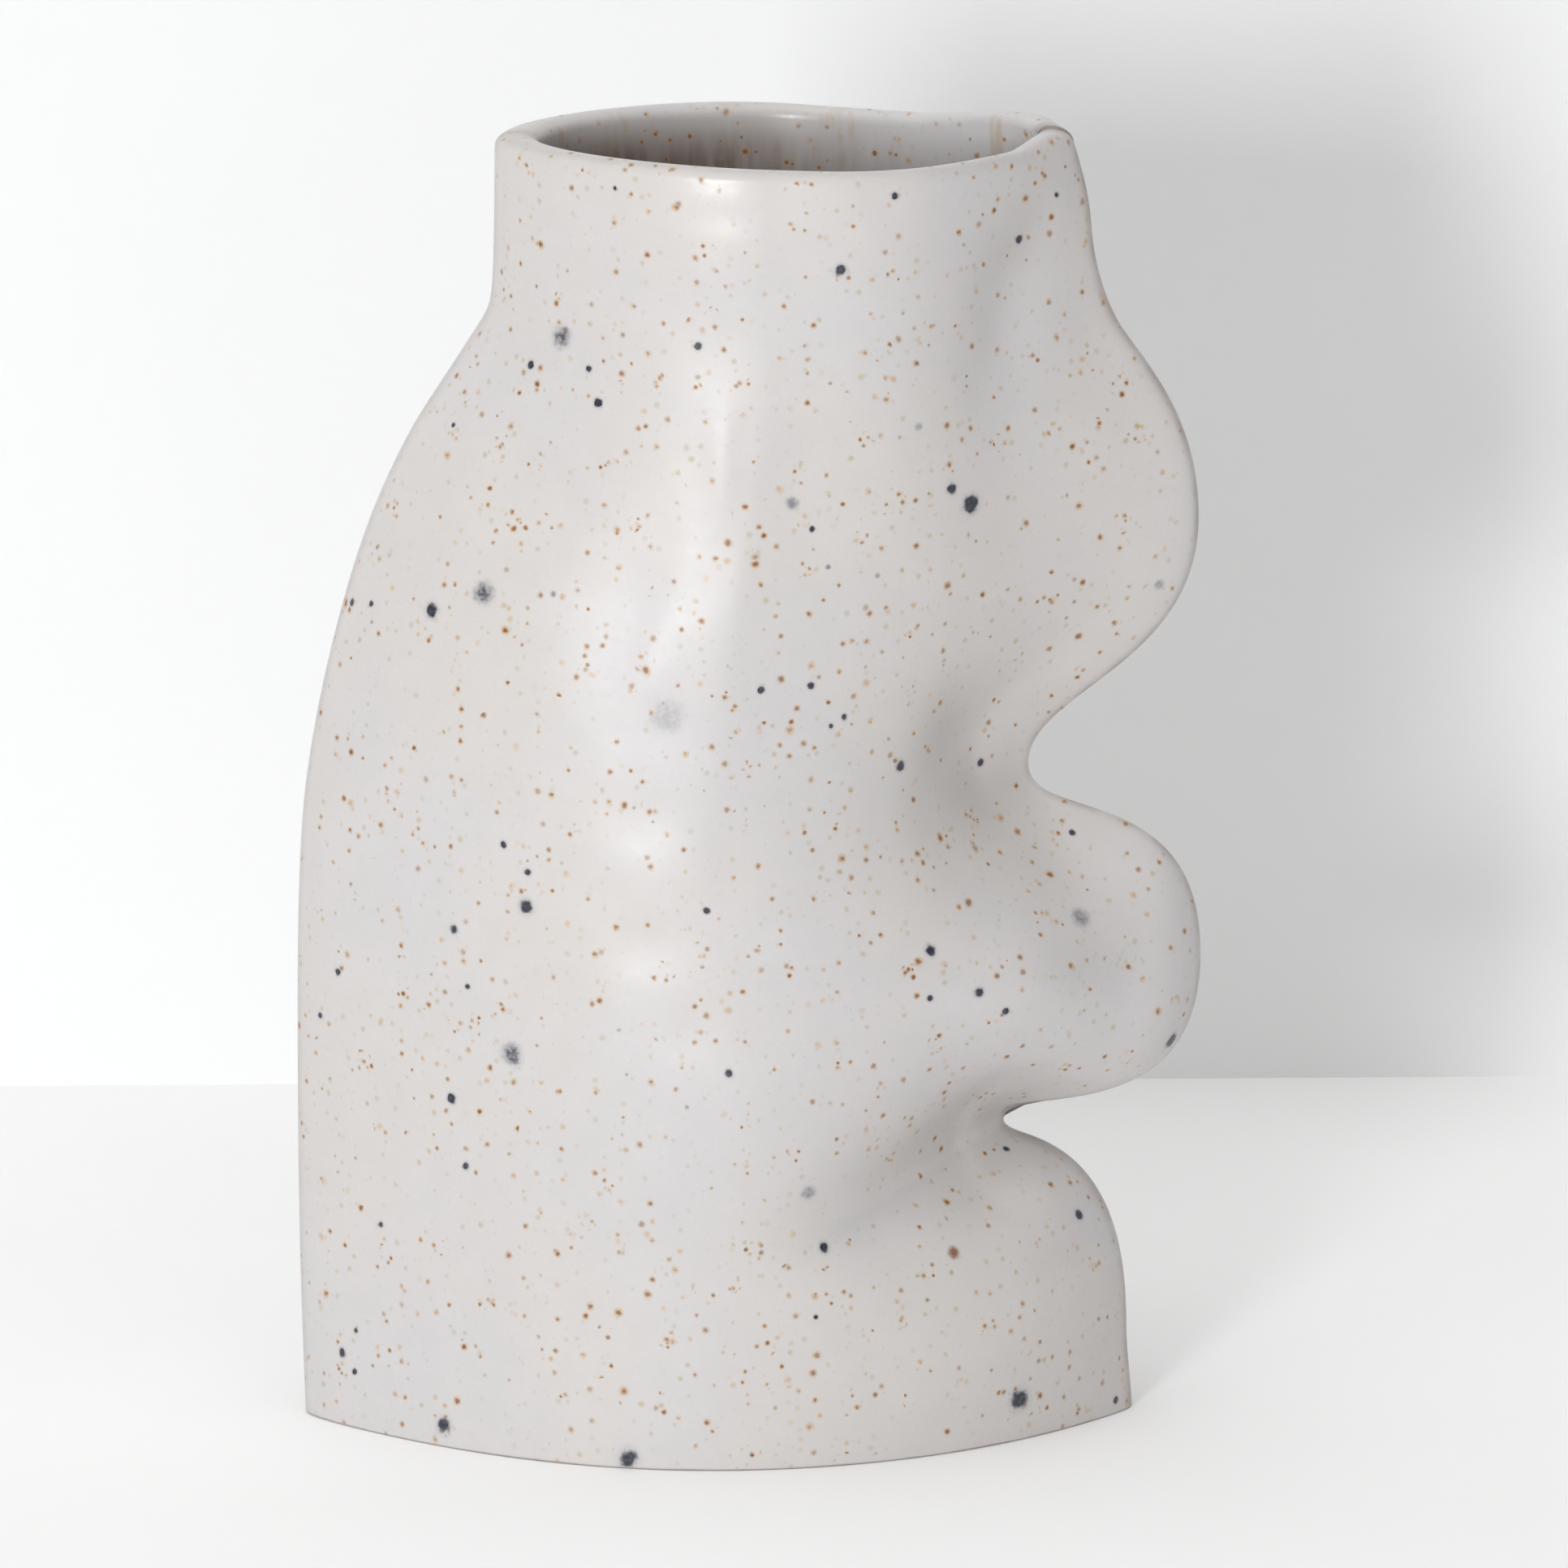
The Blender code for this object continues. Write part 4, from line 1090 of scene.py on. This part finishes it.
def bare_clay(name):
    t = Material(name)
    patches = t.noise(scale=45.0, detail=4.0, rough=0.6)
    tone = t.mix(t.ramp(patches, over=(0.3, 0.7)), CLAY_DARK, CLAY_PALE)
    grit = t.noise(scale=1700.0, detail=3.0, rough=0.7)
    tone = t.mix(t.ramp(grit, over=(0.45, 0.75), to=(0.0, 0.35)), tone, CLAY_GRIT)
    mask = t.specks(scale=300.0, share=0.5, radii=(0.00016, 0.00045), soft=0.4, seed=5)[0]
    speck_opacity = 0.8
    tone = t.mix(t.times(mask, speck_opacity), tone, CLAY_SPECK)
    t.surface('Base Color', tone)
    t.surface('Roughness', t.ramp(grit, over=(0.3, 0.7), to=(0.78, 0.92)))
    t.bump(t.plus(grit, t.noise(scale=420.0, detail=3.0)), strength=0.6, distance=0.00012)
    return t.mat


# ----------------------------------------------------------------------------
# Stage, light and camera (m)
# ----------------------------------------------------------------------------
TABLE_HALF, TABLE_TONE = 3.0, (0.945, 0.94, 0.935)
BACKDROP_SIZE = 0.9                 # half width, and height
BACKDROP_Y = 0.186                  # distance behind the vase
BACKDROP_TONE = (0.90, 0.90, 0.90)
# soft sky light: axis of each lobe and its strength
SKY = (((0.0, 0.0, 1.0), 1.133), ((0.0, -0.7, 0.7), 0.716), ((-0.7, -0.1, 0.7), 0.604))
SKY_POWER = 4.0                     # how tight the lobes are
SKY_SEEN = 0.90                     # even strength that the camera sees


def sheet(name, corners, tone, see_through_back=False):
    """A sheet of paper, faintly mottled."""
    mesh = bpy.data.meshes.new(name)
    mesh.from_pydata(corners, [], [(0, 1, 2, 3)])
    obj = add_object(name, mesh)
    t = Material(name + '_paper')
    darker = tuple(0.985 * c for c in tone)
    t.surface('Base Color', t.mix(t.ramp(t.noise(scale=9.0), over=(0.3, 0.7)), tone, darker))
    t.surface('Roughness', 0.85)
    t.surface('Specular IOR Level', 0.15)
    if see_through_back:
        clear = t.add('ShaderNodeBsdfTransparent')
        is_back = t.add('ShaderNodeNewGeometry').outputs['Backfacing']
        swap = t.add('ShaderNodeMixShader',
                     {0: is_back, 1: t.bsdf.outputs[0], 2: clear.outputs[0]})
        t.put(t.tree.nodes['Material Output'].inputs['Surface'], swap.outputs[0])
    mesh.materials.append(t.mat)


def sky(name):
    """Soft lobes of light; the camera sees an even tone instead."""
    world = bpy.data.worlds.new(name)
    bpy.context.scene.world = world
    world.use_nodes = True
    t = Shader(world.node_tree, coordinates='Generated')
    total = 0.0
    for axis, strength in SKY:
        dot = t.add('ShaderNodeVectorMath', {0: t.place, 1: Vector(axis).normalized()},
                    operation='DOT_PRODUCT').outputs['Value']
        facing = t.add('ShaderNodeMath', {0: dot, 1: 0.0}, operation='MAXIMUM').outputs[0]
        lobe = t.add('ShaderNodeMath', {0: facing, 1: SKY_POWER}, operation='POWER').outputs[0]
        total = t.add('ShaderNodeMath', {0: lobe, 1: strength, 2: total},
                      operation='MULTIPLY_ADD').outputs[0]
    is_camera = t.add('ShaderNodeLightPath').outputs['Is Camera Ray']
    seen = t.add('ShaderNodeMix', {0: is_camera, 2: total, 3: SKY_SEEN}, data_type='FLOAT')
    background = t.tree.nodes['Background']
    t.put(background.inputs['Strength'], seen.outputs[0])
    t.put(background.inputs['Color'], (1.0, 1.0, 1.0, 1.0))


def place_aimed(name, data, aim, azimuth, elevation, distance):
    """Put a light or camera round the aim; azimuth runs from -Y towards +X."""
    obj = add_object(name, data)
    a, e = math.radians(azimuth), math.radians(elevation)
    target = Vector(aim)
    obj.location = target + distance * Vector(
        (math.sin(a) * math.cos(e), -math.cos(a) * math.cos(e), math.sin(e)))
    obj.rotation_euler = (target - obj.location).to_track_quat('-Z', 'Y').to_euler()
    return obj


def window_light():
    light = bpy.data.lights.new('window', 'AREA')
    light.shape = 'RECTANGLE'
    light.size, light.size_y = 0.25, 0.35
    light.energy = 12.5
    light.color = (0.965, 0.985, 1.0)
    place_aimed('window', light, aim=(0.0, 0.0, 0.1),
                azimuth=-18.5, elevation=9.5, distance=1.6)


def main_camera():
    camera = bpy.data.cameras.new('camera')
    camera.sensor_width = 36.0
    camera.lens = 401.2
    camera.clip_start, camera.clip_end = 0.1, 20.0
    bpy.context.scene.camera = place_aimed('camera', camera, aim=(0.0048, 0.0, 0.0887),
                                           azimuth=-1.5, elevation=13.1, distance=2.4)


# ----------------------------------------------------------------------------
# Build
# ----------------------------------------------------------------------------
front, back = wall_loops(FRONT), wall_loops(BACK)
front_normals, back_normals = ring_normals(front, back)
glaze_outside = glaze('speckled_glaze', with_spots=True)
glaze_floor = glaze('speckled_glaze_floor', with_spots=False)
stoneware = bare_clay('bare_stoneware')

front_wall = wall_mesh('front_wall_glazed', front, front_normals)
back_wall = wall_mesh('back_wall_glazed', back, back_normals)
floor = floor_mesh('base_floor_slab', front, back)
for wall, loops, side in ((front_wall, front, FRONT), (back_wall, back, BACK)):
    mark_spots(wall.data, loops, side)
    mark_glaze(wall.data, loops, side)
    wall.data.materials.append(glaze_outside)
floor.data.materials.append(glaze_floor)
floor.data.materials.append(stoneware)
for face in floor.data.polygons:
    # everything on the table or facing down is bare
    if face.center.z < 0.0004 or face.normal.z < -0.5:
        face.material_index = 1

for obj, node, slot in ((front_wall, 'front_wall', 'speckled_glaze'),
                        (back_wall, 'back_wall', 'speckled_glaze'),
                        (floor, 'base_floor', 'bare_stoneware')):
    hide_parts(node)
    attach(obj, 'root')

far = TABLE_HALF
sheet('table_top', [(-far, -far, 0), (far, -far, 0), (far, far, 0), (-far, far, 0)], TABLE_TONE)
size, y = BACKDROP_SIZE, BACKDROP_Y
sheet('backdrop', [(-size, y, 0), (size, y, 0), (size, y, size), (-size, y, size)],
      BACKDROP_TONE, see_through_back=True)
sky('soft_studio')
window_light()
main_camera()
bpy.context.scene.view_settings.view_transform = 'Standard'
